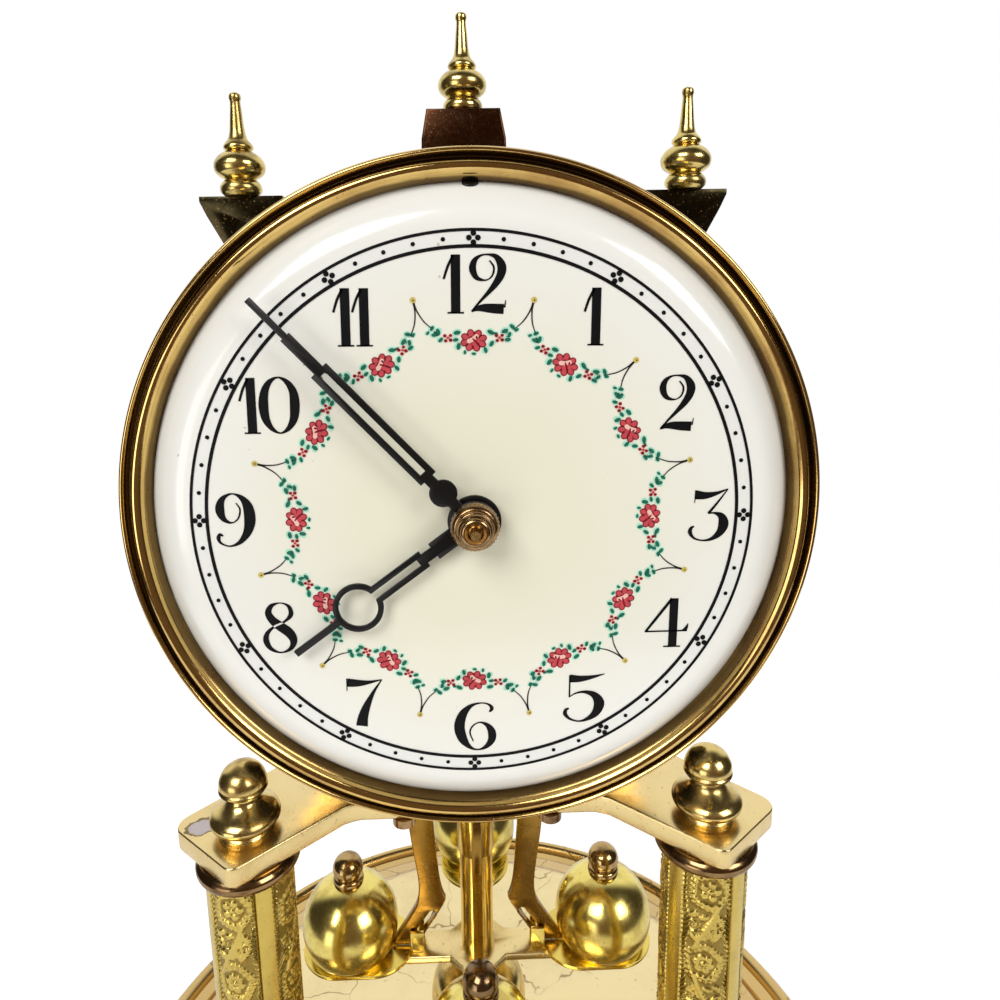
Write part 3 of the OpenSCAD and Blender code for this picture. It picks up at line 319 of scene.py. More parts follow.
def dial_paint():
    """Painted dial: whiter at the rim, cream in the middle, grey between the track's two circles."""
    t, bsdf, where = surface("dial_cream")
    radius = dial_radius(t, where)
    wobble = t.plus(radius, t.times(t.minus(t.noise(where, 40.0), 0.5), 0.012))
    colour = t.blend(t.ramp(wobble, 0.012, 0.044), (0.835, 0.83, 0.660, 1.0), (0.865, 0.872, 0.82, 1.0))
    track = t.times(t.ramp(radius, (TRACK_IN - 0.2) * MM, TRACK_IN * MM),
        t.ramp(radius, (TRACK_OUT + 0.1) * MM, (TRACK_OUT - 0.1) * MM))
    colour = t.blend(t.times(track, 0.55), colour, (0.80, 0.82, 0.80, 1.0))
    specks = t.ramp(t.noise(where, 700.0, 1.0, 0.5), 0.80, 0.84)
    t.fill(bsdf, {"Base Color": t.blend(t.times(specks, 0.5), colour, (0.35, 0.27, 0.15, 1.0)),
        "Roughness": 0.18, "Coat Weight": 0.3, "Coat Roughness": 0.05,
        "Normal": t.bump(t.noise(where, 260.0, 2.0), 0.03, 0.0001)})


# Clean and old colour, tarnish, scales of clouds and specks, pits, gloss, scratches, bump
metal("base_gold", (0.87, 0.72, 0.39), (0.56, 0.38, 0.15), 0.30, 35.0, 900.0, 0.45, 0.20, 0.10, 0.10,
    lathe=(5000.0, 0.05, ORIGIN, ORIGIN), cracks=0.75, rim=(0.66, 0.46, 0.18))
metal("plate_gold", (0.84, 0.66, 0.31), (0.60, 0.40, 0.15), 0.40, 70.0, 1500.0, 0.5, 0.24, 0.10, 0.12,
    rubbed=(-0.0502, -0.0362, 0.134))
# The bezel's dark bands over its two grooves are painted shade and grime
metal("bezel_gold", (0.72, 0.50, 0.17), (0.34, 0.17, 0.05), 0.60, 70.0, 1700.0, 0.45, 0.09, 0.12, 0.09,
    lathe=(6000.0, 0.09, (0.0, 0.0, -DIAL_Z * MM), (radians(90), 0.0, 0.0)),
    rings=((47.7, 48.4, 0.8), (50.5, 51.45, 0.85)))
metal("turned_gold", (0.74, 0.56, 0.20), (0.30, 0.18, 0.06), 0.75, 230.0, 1900.0, 0.6, 0.19, 0.14, 0.14)
metal("ball_gold", (0.86, 0.71, 0.20), (0.46, 0.31, 0.075), 0.6, 170.0, 1400.0, 0.5, 0.18, 0.14, 0.16)
metal("pad_gold", (0.82, 0.63, 0.14), (0.52, 0.32, 0.06), 0.5, 110.0, 1400.0, 0.35, 0.20, 0.10, 0.10)
metal("strap_gold", (0.38, 0.22, 0.042), (0.18, 0.09, 0.02), 0.6, 130.0, 1500.0, 0.5, 0.22, 0.12, 0.16)
# Its recesses are painted darker: tarnish and painted shade
metal("column_gold", (0.68, 0.51, 0.125), (0.20, 0.125, 0.025), 0.30, 120.0, 2200.0, 0.4, 0.23, 0.1, 0.1,
    pressed=0.75)
metal("tube_gold", (0.80, 0.60, 0.18), (0.42, 0.26, 0.07), 0.5, 120.0, 1500.0, 0.4, 0.17, 0.1, 0.1)
metal("wheel_gold", (0.80, 0.58, 0.24), (0.52, 0.35, 0.13), 0.35, 110.0, 1500.0, 0.25, 0.26, 0.14, 0.1)
metal("frame_gold", (0.74, 0.52, 0.20), (0.42, 0.27, 0.10), 0.45, 60.0, 1200.0, 0.4, 0.28, 0.16, 0.12)
metal("dark_bronze", (0.070, 0.027, 0.012), (0.03, 0.013, 0.007), 0.8, 260.0, 2600.0, 0.7, 0.22, 0.2, 0.35,
    flecks=2800.0)
metal("ear_bronze", (0.036, 0.028, 0.013), (0.013, 0.012, 0.006), 0.8, 260.0, 2600.0, 0.7, 0.20, 0.2, 0.35,
    flecks=2600.0)
metal("nut_bronze", (0.40, 0.25, 0.115), (0.09, 0.05, 0.025), 0.85, 330.0, 2400.0, 0.6, 0.20, 0.16, 0.2)
metal("collar_bronze", (0.32, 0.20, 0.085), (0.10, 0.05, 0.025), 0.85, 150.0, 2000.0, 0.5, 0.13, 0.14, 0.12)
metal("finial_bronze", (0.72, 0.56, 0.19), (0.26, 0.17, 0.05), 0.8, 300.0, 2200.0, 0.7, 0.19, 0.16, 0.18)
metal("button_bronze", (0.50, 0.34, 0.14), (0.14, 0.08, 0.03), 0.8, 260.0, 2000.0, 0.5, 0.14, 0.12, 0.12)
metal("button_dark", (0.24, 0.15, 0.07), (0.06, 0.035, 0.018), 0.9, 420.0, 2400.0, 0.7, 0.16, 0.14, 0.2)
metal("bright_steel", (0.62, 0.61, 0.59), (0.36, 0.33, 0.30), 0.35, 120.0, 1800.0, 0.25, 0.27, 0.15, 0.1)
plain("hand_black", (0.005, 0.005, 0.005), 0.32, 0.35)
plain("foot_black", (0.03, 0.027, 0.025), 0.7, 0.5)
plain("print_black", (0.004, 0.004, 0.005), shine=0.15)
plain("string_grey", (0.022, 0.02, 0.018), 0.5)
plain("rose_dark", (0.24, 0.008, 0.02))
plain("rose_red", (0.58, 0.075, 0.09))
plain("rose_pink", (0.90, 0.55, 0.47), mottle=0.03)
plain("leaf_dark", (0.014, 0.15, 0.095))
plain("leaf_mint", (0.42, 0.78, 0.60), mottle=0.03)
plain("dot_gold", (0.66, 0.52, 0.12), 0.35, 0.5)
dial_paint()


# Mesh helpers, which take millimetres
STAND_UP = Matrix.Rotation(radians(90), 3, "X")


def shift(bm, place, verts=None):
    bmesh.ops.translate(bm, verts=verts or bm.verts, vec=Vector(place) * MM)


def rotate(bm, matrix):
    bmesh.ops.rotate(bm, verts=bm.verts, cent=(0, 0, 0), matrix=matrix)


def absorb(whole, part):
    """Adds a body to another one and frees it."""
    mesh = bpy.data.meshes.new("part")
    part.to_mesh(mesh)
    part.free()
    whole.from_mesh(mesh)
    bpy.data.meshes.remove(mesh)


def body_of(node):
    return next(body for body, held in frame["record"]["behaviour"]["bodies"].items() if node in held)


def finish_piece(bm, name, paint, node=None, crease=32.0, flat=False):
    """Makes a piece that rides with its CAD node and replaces it, or that rides on the frame without one."""
    bmesh.ops.remove_doubles(bm, verts=bm.verts, dist=1e-7)
    bmesh.ops.recalc_face_normals(bm, faces=bm.faces)
    mesh = bpy.data.meshes.new(name)
    bm.to_mesh(mesh)
    bm.free()
    if not flat:
        mesh.shade_smooth()
        mesh.set_sharp_from_angle(angle=radians(crease))
    mesh.materials.append(PAINT[paint])
    piece = link(bpy.data.objects.new(name, mesh))
    body = body_of(node) if node else "frame"
    stands_for = [node] if node else []
    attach(piece, body)
    if stands_for:
        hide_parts(*stands_for)


def curved(points, steps=5):
    """A smooth run through the points."""
    result = []
    last = len(points) - 1
    for i in range(last):
        p0, p1, p2, p3 = (Vector(points[min(max(i + k, 0), last)]) for k in (-1, 0, 1, 2))
        for k in range(steps):
            u = k / steps
            result.append(tuple(0.5 * ((2 * p1) + (p2 - p0) * u + (2 * p0 - 5 * p1 + 4 * p2 - p3) * u * u
                + (3 * p1 - p0 - 3 * p2 + p3) * u ** 3)))
    result.append(tuple(points[-1]))
    return result


def lathe(profile, steps=128):
    """A closed turned body round Z from a profile of (radius, height)."""
    bm = bmesh.new()
    verts = [bm.verts.new((max(r, 0.0) * MM, 0.0, z * MM)) for r, z in profile]
    edges = [bm.edges.new((a, b)) for a, b in zip(verts, verts[1:]) if (a.co - b.co).length > 1e-8]
    if profile[0][0] > 1e-6 and (Vector(profile[0]) - Vector(profile[-1])).length > 1e-6:
        edges.append(bm.edges.new((verts[-1], verts[0])))
    bmesh.ops.spin(bm, geom=verts + edges, cent=(0, 0, 0), axis=(0, 0, 1), angle=tau, steps=steps,
        use_merge=True)
    bmesh.ops.remove_doubles(bm, verts=bm.verts, dist=2e-6)
    return bm


def place_copies(bm, places):
    """Moves the body to the first place and copies it to the others."""
    whole = bm.verts[:] + bm.edges[:] + bm.faces[:]
    for spot in places[1:]:
        copy = bmesh.ops.duplicate(bm, geom=whole)["geom"]
        shift(bm, spot, [g for g in copy if isinstance(g, bmesh.types.BMVert)])
    shift(bm, places[0], [g for g in whole if isinstance(g, bmesh.types.BMVert)])
    return bm


def turned(name, profile, paint, node, places=((0, 0, 0),), steps=128, facing=False, crease=32.0):
    """A turned piece in one or more places, its axis upright or facing the front."""
    bm = lathe(profile, steps)
    if facing:
        rotate(bm, STAND_UP)
    finish_piece(place_copies(bm, places), name, paint, node, crease)


def flat_plate(outlines, thickness, bevel=0.0):
    """A flat plate in XY from closed outlines, the later ones are its holes."""
    curve = bpy.data.curves.new("outline", "CURVE")
    curve.dimensions = "2D"
    curve.fill_mode = "BOTH"
    curve.extrude = max(thickness / 2.0 - bevel, 0.0) * MM
    curve.bevel_depth = bevel * MM
    curve.bevel_resolution = 2
    curve.offset = -bevel * MM
    for outline in outlines:
        spline = curve.splines.new("POLY")
        spline.points.add(len(outline) - 1)
        for point, (x, y) in zip(spline.points, outline):
            point.co = (x * MM, y * MM, 0.0, 1.0)
        spline.use_cyclic_u = True
    holder = link(bpy.data.objects.new("outline", curve))
    mesh = bpy.data.meshes.new_from_object(holder.evaluated_get(bpy.context.evaluated_depsgraph_get()))
    bpy.data.objects.remove(holder)
    bpy.data.curves.remove(curve)
    bm = bmesh.new()
    bm.from_mesh(mesh)
    bpy.data.meshes.remove(mesh)
    bmesh.ops.remove_doubles(bm, verts=bm.verts, dist=1e-6)
    return bm


def standing_plate(outlines, thickness, bevel=0.0):
    bm = flat_plate(outlines, thickness, bevel)
    rotate(bm, STAND_UP)
    return bm


def ellipse(cx, cy, rx, ry, n=32):
    return [(cx + rx * cos(a), cy + ry * sin(a)) for a in (tau * k / n for k in range(n))]


def on_columns(z):
    return [(-COL_X, COL_Y, z), (COL_X, COL_Y, z)]


# Base and the cup that guides the pendulum
def make_base():
    b, r0, h = BASE_R - 0.01, PLATE_R, BASE_H
    g = b - 8.5
    outer = [(2.0, h), (30.0, h), (60.0, h)] + curved([(r0 - 0.6, h), (r0 + 0.6, h - 0.15), (r0 + 2.2, h - 0.8),
        (r0 + 4.4, h - 2.0), (g - 5.4, h - 4.0), (g - 3.6, h - 6.4), (g - 1.8, h - 8.6), (g, h - 9.5)])
    outer += [(g + 3.2, h - 9.5)] + curved([(g + 3.4, h - 9.4), (b - 4.2, h - 7.8), (b - 2.6, h - 7.0),
        (b - 1.0, h - 8.2), (b - 0.1, h - 10.6), (b, h - 13.0)]) + [(b, FOOT_H + 0.4), (b - 0.3, FOOT_H)]
    inner = [(b - 1.2, FOOT_H), (b - 1.2, h - 13.0), (b - 4.0, h - 10.8), (g - 0.8, h - 10.8),
        (g - 5.6, h - 6.6), (r0 + 1.4, h - 1.9), (r0 - 0.2, h - 1.2), (2.0, h - 1.2)]
    turned("base", outer + inner, "base_gold", "base_shell", steps=240)


def make_cup():
    z, h, r = BASE_H, CUP_H, CUP_R
    body = [(0.0, z - 6.2), (1.95, z - 6.2), (1.95, z), (r - 1.0, z)] + curved([(r - 0.8, z + 0.1),
        (r - 0.3, z + 1.0), (r - 1.5, z + 2.2), (r - 4.4, z + 4.2), (r - 5.8, z + 8.0), (r - 6.2, z + h - 22.0),
        (r - 5.0, z + h - 17.0), (r - 1.6, z + h - 13.4), (r, z + h - 10.0), (r, z + h - 7.4),
        (r - 0.7, z + h - 4.4), (r - 2.2, z + h - 2.0), (r - 4.6, z + h - 0.4), (r - 6.0, z + h)])
    body += [(4.1, z + h), (4.0, z + h - 0.2), (4.0, z + h - 10.0), (0.0, z + h - 10.0)]
    turned("guide_cup_turned", body, "turned_gold", "guide_cup")


# Columns with pressed flowers
PRESS_DEPTH = 0.46
FLOWER_PITCH = 15.0
PANEL_TURN = 32.3
LEAVES = ((0.4, 7.5, 0.5, 2.7, 1.05), (-1.9, 5.9, -0.7, 1.7, 0.75), (2.2, 9.4, -0.7, 1.7, 0.75),
    (2.5, 5.3, 0.9, 1.4, 0.65), (-2.5, 9.8, 0.9, 1.4, 0.65), (-0.6, 9.6, 1.2, 1.2, 0.6),
    (0.9, 5.4, 1.2, 1.2, 0.6))


def dome(dist, width, power=0.5):
    return np.clip(1.0 - (dist / width) ** 2, 0.0, 1.0) ** power


def column_relief(angle, z):
    """Depth below the full radius for arrays of angle in degrees and height: four panels, plain bands between."""
    band = (angle - PANEL_TURN + 45.0) % 90.0 - 45.0
    s = np.radians(np.where(band >= 0, band - 45.0, band + 45.0)) * COL_R
    zz = z + np.floor((angle - PANEL_TURN) / 90.0) * 3.7
    index = np.round(zz / FLOWER_PITCH)
    local = zz - index * FLOWER_PITCH
    flip = np.where(index % 2 == 0, 1.0, -1.0)
    cs = s - 0.35 * flip
    d = np.hypot(cs, local)
    a = np.arctan2(local, cs)
    h = 0.16 + 0.14 * np.sin(s * 13.0 + 3.0 * np.sin(zz * 2.3)) * np.sin(zz * 11.5 + 2.0 * np.sin(s * 3.1))
    # Wreath of two beaded rings
    ring = 3.0 + 0.22 * np.sin(5.0 * a + index)
    shade = (0.80 + 0.20 * np.cos(a * 17.0)) * (0.62 + 0.38 * np.cos(a * 0.5 + index) ** 2)
    h = np.maximum(h, dome(d - ring, 0.62) * shade)
    h = np.maximum(h, dome(d - ring - 0.75, 0.36) * (0.60 + 0.25 * np.cos(a * 26.0)))
    # Flower of five or six petals in it
    step = 2.0 * np.pi / (5.0 + index % 2.0)
    turn = (a + 0.7 * index) % step - step / 2.0
    pd = np.hypot(d * np.cos(turn) - 1.38, d * np.sin(turn))
    petal = dome(pd, 0.80) * (0.95 - 0.30 * dome(pd - 0.1, 0.30)) - 0.16 * dome(np.abs(turn) * d, 0.12)
    flower = np.maximum(np.maximum(0.06, petal), 0.98 * dome(d, 0.60) - 0.25 * dome(d, 0.2))
    h = np.where(d < 2.35, flower, h)
    # Stem that winds past the flowers, its leaves and two curls
    outside = d > 3.1
    wave = 2.6 * np.cos(np.pi * zz / FLOWER_PITCH)
    h = np.maximum(h, np.where(outside, dome(s - wave, 0.55) * 0.92, 0.0))
    lz0 = zz % FLOWER_PITCH
    for ds, dz, tilt, long, wide in LEAVES:
        lz = lz0 - dz
        ls = s * flip - ds
        q1 = ls * np.sin(tilt) + lz * np.cos(tilt)
        q2 = ls * np.cos(tilt) - lz * np.sin(tilt)
        edge = wide * (1.0 + 0.18 * np.cos(q1 * 9.0))
        leaf = dome(np.hypot(q1 / long, q2 / edge), 1.0, 0.45) * (0.95 - 0.38 * dome(q2, 0.14))
        h = np.maximum(h, np.where(outside, leaf, 0.0))
    for ds, dz in ((2.6, 7.4), (-2.6, 7.8)):
        cd = np.hypot(s - ds, lz0 - dz)
        curl = (cd - 0.17 * np.arctan2(lz0 - dz, s - ds)) % 1.07 - 0.53
        h = np.maximum(h, np.where(outside & (cd < 1.5), 0.9 * dome(curl, 0.34), 0.0))
    # Hatched border, a groove, and the plain band
    border = 3.55 + 0.35 * np.cos(2.0 * np.pi * zz / FLOWER_PITCH)
    hatch = 0.5 + 0.5 * np.cos(2.0 * np.pi * (zz + np.abs(s) * 1.0) / 0.98)
    h = np.where(np.abs(s) > border, 0.10 + 0.85 * hatch, h)
    h = np.where(np.abs(s) > 4.42, 0.05, h)
    h = np.where(np.abs(band) > 11.5, h, 1.0)
    return PRESS_DEPTH * (1.0 - np.clip(h, 0.0, 1.0))


def make_column(node, side):
    rows, bore = 404, 6.6
    z0, z1 = COL_FOOT, COL_TOP
    profile = [(bore, z0)] + [(COL_R, z0 + (z1 - z0) * k / rows) for k in range(rows)] + [(COL_R, z1), (bore, z1)]
    bm = lathe(profile, 216)
    co = np.array([v.co[:] for v in bm.verts]) / MM
    radius = np.hypot(co[:, 0], co[:, 1])
    angle = np.degrees(np.arctan2(co[:, 0], -co[:, 1]))
    depth = np.where(radius > COL_R - 0.3, column_relief(angle, co[:, 2]), 0.0)
    for v, k in zip(bm.verts, (radius - depth) / radius):
        v.co.x *= k
        v.co.y *= k
    shift(bm, (side * COL_X, COL_Y, 0))
    finish_piece(bm, node + "_pressed", "column_gold", node, 60.0)


def make_collars_and_nuts():
    r, h = 10.4, 3.6
    foot = [(2.2, 0.0), (r - 0.4, 0.0)] + curved([(r - 0.3, 0.1), (r, 0.8), (r - 0.5, 1.6), (r - 1.3, 1.95)]) \
        + curved([(r - 1.4, 2.1), (r - 1.5, h - 0.6), (r - 2.0, h)]) + [(2.2, h)]
    turned("column_foot_collars", foot, "turned_gold", "foot_collars", on_columns(BASE_H))
    r, h = 9.2, 3.0
    top = [(2.2, 0.0), (r - 1.6, 0.0)] + curved([(r - 1.3, 0.0), (r - 0.5, 0.35), (r - 0.08, 0.95), (r, 1.5),
        (r - 0.08, 2.05), (r - 0.5, h - 0.3), (r - 0.9, h)]) + [(2.2, h)]
    turned("column_top_collars", top, "collar_bronze", "top_collars", on_columns(COL_TOP))
    r, h = 6.2, 13.4
    nut = [(2.0, 0.0), (r - 1.5, 0.0)] + curved([(r - 1.45, 0.05), (r - 1.25, 0.5), (r - 1.6, 1.0)], 4) \
        + curved([(r - 1.6, 1.0), (r - 0.9, 1.25), (r - 1.1, 1.6)], 4) + curved([(r - 1.1, 1.6), (r - 0.35, 2.05),
        (r, 2.8), (r - 0.12, 3.5), (r - 0.75, 4.3), (r - 2.0, 5.15), (r - 3.0, 6.0), (r - 3.42, 6.8),
        (r - 3.35, 7.4), (r - 2.7, 7.9)]) + curved([(r - 2.2, 8.0), (r - 1.9, 8.5), (r - 2.2, 8.95)], 4) \
        + curved([(r - 2.2, 8.95), (r - 2.0, 9.4), (r - 2.2, 10.6), (r - 3.0, 11.9), (r - 4.2, h - 0.65),
        (r - 5.3, h - 0.12), (0.0, h)]) + [(0.0, 6.0), (2.0, 6.0)]
    turned("column_nuts_turned", nut, "turned_gold", "column_nuts", on_columns(PLATE_Z))


def make_top_plate():
    def arc(cx, cy, r, a0, a1, n=8):
        angles = [radians(a0 + (a1 - a0) * i / n) for i in range(n + 1)]
        return [(cx + r * cos(a), cy + r * sin(a)) for a in angles]

    x, y, e = COL_X, COL_Y, 12.8
    right = [(21.0, -31.5), (22.2, -31.55), (23.4, -31.9), (25.0, -32.6)] \
        + arc(x + 0.1, y - e + 5.3, 2.2, -131, -49) + arc(x + e - 3.0, y + 1.6, 3.0, -49, 45) + [(27.0, -6.0)]
    bm = flat_plate([right + [(-a, b) for a, b in reversed(right)]], PLATE_T, 0.3)
    shift(bm, (0, 0, PLATE_Z - PLATE_T / 2.0))
    finish_piece(bm, "top_plate_cast", "plate_gold", "top_plate", 40.0)


# Movement: block and finials over the bezel
def make_block_and_finials():
    w, top, foot = 6.0, BLOCK_TOP, 48.4
    bm = standing_plate([[(-w - 1.2, foot), (w + 1.2, foot), (w + 0.9, top - 4.6), (w, top), (-w, top),
        (-w - 0.9, top - 4.6)]], BLOCK_DEEP, 0.35)
    shift(bm, (0, BLOCK_Y, DIAL_Z))
    finish_piece(bm, "top_block_cast", "dark_bronze", "top_block", 40.0)
    r, h = 4.05, 16.0
    shape = [(0.0, 0.0), (r - 1.6, 0.0)] + curved([(r - 1.4, 0.05), (r - 0.85, 0.6), (r - 0.75, 1.35),
        (r - 1.1, 2.1), (r - 1.6, 2.55)]) + curved([(r - 1.6, 2.6), (r - 0.95, 2.95), (r - 0.25, 3.6), (r, 4.5),
        (r - 0.15, 5.3), (r - 0.75, 6.15), (r - 1.6, 6.75), (r - 2.15, 7.0)]) + curved([(r - 2.15, 7.05),
        (r - 1.75, 7.3), (r - 1.72, 7.75), (r - 2.05, 8.25), (r - 2.5, 8.8), (r - 2.85, 10.0), (r - 3.1, h - 3.4),
        (r - 3.25, h - 1.6), (r - 3.1, h - 1.0), (r - 3.25, h - 0.35), (0.0, h)])
    turned("finials_turned", shape, "finial_bronze", "movement_finials",
        [(0, BLOCK_Y, DIAL_Z + BLOCK_TOP)] + [(x, FRONT_PLATE_Y, DIAL_Z + EAR_TOP) for x in (-EAR_X, EAR_X)])


def make_ear_rivets():
    """Fills the small hole in each ear of the front plate, flush with both faces."""
    bm = standing_plate([ellipse(0.0, 0.0, 1.0, 1.0)], FRONT_PLATE_T)
    place_copies(bm, [(x, FRONT_PLATE_Y, DIAL_Z + EAR_TOP - EAR_HOLE_DROP) for x in (-EAR_X, EAR_X)])
    finish_piece(bm, "ear_rivets", "ear_bronze")


# Dial side
def make_dial_and_bezel():
    """The dial is flat out to 42 mm and its edge bends back; the bezel is a narrow rolled ring round that edge."""
    place = [(0, DIAL_Y, DIAL_Z)]
    flat, drop, step = 42.0, 3.75 / 5.8 ** 2, 0.4
    rim = [(flat + step * k, -drop * (step * k) ** 2) for k in range(17)]
    shape = [(DIAL_HOLE_R, 0.0)] + rim + [(r - 0.45, y - 0.7) for r, y in reversed(rim)] + [(DIAL_HOLE_R, -DIAL_T)]
    turned("dial_dished", shape, "dial_cream", "dial", place, 192, True, 40.0)
    shape = curved([(47.85, -3.85), (47.8, -3.55), (47.95, -3.0), (48.3, -2.35), (48.5, -2.1)], 4) \
        + curved([(48.55, -2.05), (48.8, -1.5), (49.4, -1.1), (50.0, -1.15), (50.4, -1.6), (50.5, -2.0)], 4) \
        + curved([(50.55, -2.15), (50.75, -2.75), (51.0, -2.95), (51.25, -2.75), (51.4, -2.2)], 4) \
        + curved([(51.45, -2.1), (51.75, -1.8), (52.1, -1.9), (52.35, -2.4), (52.4, -3.2), (52.3, -4.2)], 4) \
        + [(52.25, -7.2), (52.0, -7.5), (51.6, -7.5), (51.3, -7.1), (51.2, -4.4), (49.9, -2.8), (48.9, -2.9),
        (48.3, -3.6)]
    turned("bezel_spun", shape, "bezel_gold", "bezel", place, 256, True, 28.0)
    bm = standing_plate([ellipse(0.0, 0.0, 1.15, 0.8, 24)], 0.5, 0.15)
    rotate(bm, Matrix.Rotation(radians(-48), 3, "X"))
    shift(bm, (0.4, DIAL_Y + 3.3, DIAL_Z + 47.5))
    finish_piece(bm, "dial_catch", "hand_black")


# The print is turned on the dial by this many degrees
PRINT_TURN = 0.9


class Print:
    """Flat shapes laid on the dial, gathered by colour; x to the right and z up from the hands' axis."""

    def __init__(self):
        self.layers = {}
        self.turn = Matrix.Rotation(radians(PRINT_TURN), 4, "Y")

    def lay(self, colour, part, level):
        for v in part.verts:
            height = 0.03 + 0.02 * level + (0.02 if v.co.z > 0 else 0.0)
            v.co = (v.co.x, -height * MM, v.co.y)
        bmesh.ops.transform(part, matrix=self.turn, verts=part.verts)
        shift(part, (0, DIAL_Y, DIAL_Z))
        absorb(self.layers.setdefault(colour, bmesh.new()), part)

    def blob(self, colour, x, z, rx, rz, turn=0.0, level=0, segments=12):
        part = bmesh.new()
        place = Matrix.Translation((x * MM, z * MM, 0)) @ Matrix.Rotation(turn, 4, "Z") \
            @ Matrix.Diagonal((rx * MM, rz * MM, 1e-5, 1.0))
        bmesh.ops.create_cone(part, cap_ends=True, segments=segments, radius1=1.0, radius2=1.0, depth=2.0,
            matrix=place)
        self.lay(colour, part, level)

    def area(self, colour, outlines, level=0):
        self.lay(colour, flat_plate(outlines, 0.02), level)

    def stroke(self, colour, points, place=(0.0, 0.0), size=1.0, level=0, closed=False, steps=6):
        """A pen stroke through points of (x, z, width)."""
        if closed:
            ring = [points[-1]] + points + points[:2]
            path = [p for k in range(len(points)) for p in curved(ring[k:k + 4], steps)[steps:2 * steps]]
        else:
            path = curved(points, steps) if len(points) > 2 else points
        left, right = [], []
        m = len(path)
        for i, (x, z, w) in enumerate(path):
            p = path[(i - 1) % m] if closed or i > 0 else path[i]
            q = path[(i + 1) % m] if closed or i < m - 1 else path[i]
            d = Vector((q[0] - p[0], q[1] - p[1]))
            d.normalize()
            n = Vector((-d.y, d.x)) * (w * size / 2.0)
            cx, cz = place[0] + x * size, place[1] + z * size
            left.append((cx + n.x, cz + n.y))
            right.append((cx - n.x, cz - n.y))
        self.area(colour, [left, right] if closed else [left + right[::-1]], level)

    def done(self, names):
        for colour, (name, paint, slot) in names.items():
            finish_piece(self.layers[colour], name, paint, flat=True)


# Strokes of each digit as (x, z, width), and each digit's whole width, in hundredths of the digits' height
DIGITS = {
    "0": [[(35, 99.0, 3), (50, 91, 9), (60, 74, 14), (62, 50, 17), (59, 26, 14), (49, 9, 8), (35, 1.2, 3),
        (21, 9, 8), (11, 26, 14), (8, 50, 17), (11, 74, 14), (20, 91, 9)]],
    "1": [[(27, 0.5, 16), (27, 98.5, 16)], [(23, 97, 4), (14, 79, 4.5), (7, 58, 4)],
        [(13, 1.4, 2.8), (41, 1.4, 2.8)]],
    "2": [[(35.5, 88.7, 2.5), (43, 77.4, 3.5), (40, 63, 3), (29, 56, 2.5), (14, 60, 8), (7, 74, 12), (10, 88, 9),
        (20, 96.5, 4), (33, 98.5, 3), (47, 94.5, 9), (56, 80.6, 15), (55, 66, 14), (46, 50, 11), (32, 33.5, 6.5),
        (18, 18.5, 4), (6, 4.5, 3)], [(5, 3.5, 3), (14, 8.0, 8), (26, 9.5, 13), (42, 8.5, 16), (60, 7.5, 17)],
        [(63.5, 22.5, 1.5), (61.5, 10, 3)]],
    "3": [[(12, 88.5, 17), (30, 87, 13), (50, 91, 7), (70, 99, 1.5)], [(11.5, 97, 2.5), (10.6, 73, 1.5)],
        [(70, 98.5, 2), (52, 73, 4), (37, 53.5, 5)],
        [(36, 53, 2), (48, 54, 4), (61, 47.5, 13), (65.5, 33, 19), (60, 17.5, 14), (46, 5.5, 7), (29, 2, 3),
        (13, 6.5, 4), (5, 17, 7.5), (6.5, 25.5, 6), (12, 29, 2.5)]],
    "4": [[(54, 0.5, 16), (54, 97, 16)], [(37, 1.4, 2.8), (69, 1.4, 2.8)],
        [(50, 97, 5), (27, 65, 5.5), (3, 32, 4.5)], [(1, 31.8, 3), (81, 32.8, 3)],
        [(71, 33.5, 1.5), (78, 36.5, 6.5), (82, 47, 1.5)]],
    "5": [[(12.5, 90.7, 16), (31, 89.6, 13), (55, 93, 7), (78, 99, 1.5)], [(12.2, 97, 3), (12.2, 52, 3)],
        [(12, 52.5, 2), (24, 60, 3), (41, 62.5, 6), (59, 56, 13), (69, 39.7, 20), (64, 21, 16), (51, 8.6, 9),
        (33, 2, 3.5), (15, 6.5, 4.5), (5, 17, 7.5), (6, 26, 6), (12, 29, 2.5)]],
    "6": [[(67.5, 80, 3), (72, 87.5, 7), (66, 95.5, 4), (52, 98.8, 2.5), (33, 93.5, 7), (17, 76, 16),
        (10.5, 50, 20), (17, 24, 17), (31, 6.6, 7), (46, 1.6, 3), (61, 7.5, 8), (71.5, 21.4, 14), (72, 38, 15),
        (64, 52, 9), (50, 58.6, 3), (36.5, 52, 3), (30.5, 38, 3), (37, 19, 2)]],
    "7": [[(2.5, 90, 17), (21, 88.5, 14), (43, 90, 7), (67, 95, 1.5)], [(1.6, 98, 2.5), (1.2, 73, 1.5)],
        [(66.5, 94.5, 2), (51, 70.5, 6), (37, 41, 14), (29.5, 18, 19), (27, 0.5, 22)]],
    "8": [[(34, 98.6, 2.5), (21, 93, 8), (15, 80, 12), (21.5, 66, 15), (35, 53.5, 18), (51, 40.5, 18),
        (58.5, 25, 14), (52.5, 9, 7.5), (35, 1.5, 3), (17, 8.6, 7.5), (8.5, 24.6, 11), (11.5, 40, 8), (25, 53, 4),
        (43, 62, 4), (55.5, 75, 8.5), (54, 89.5, 7), (45.6, 96.8, 3.5)]],
    "9": [[(38.5, 82, 2), (45, 70, 3), (41, 53.5, 3), (29, 45.5, 3), (15, 53, 10), (9.5, 70, 16), (13.5, 87, 11),
        (24, 96.5, 5), (36, 98.6, 3), (50, 90.5, 10), (59.5, 74, 18), (61.5, 50, 20), (56, 28, 15), (42, 9.5, 8),
        (24, 1.8, 3), (8, 7.5, 4), (3.8, 17, 7), (7, 23.4, 6), (12.5, 21, 2.5)]],
}
WIDTHS = {"0": 70, "1": 46, "2": 66, "3": 75, "4": 83, "5": 79, "6": 79, "7": 67, "8": 68, "9": 72}
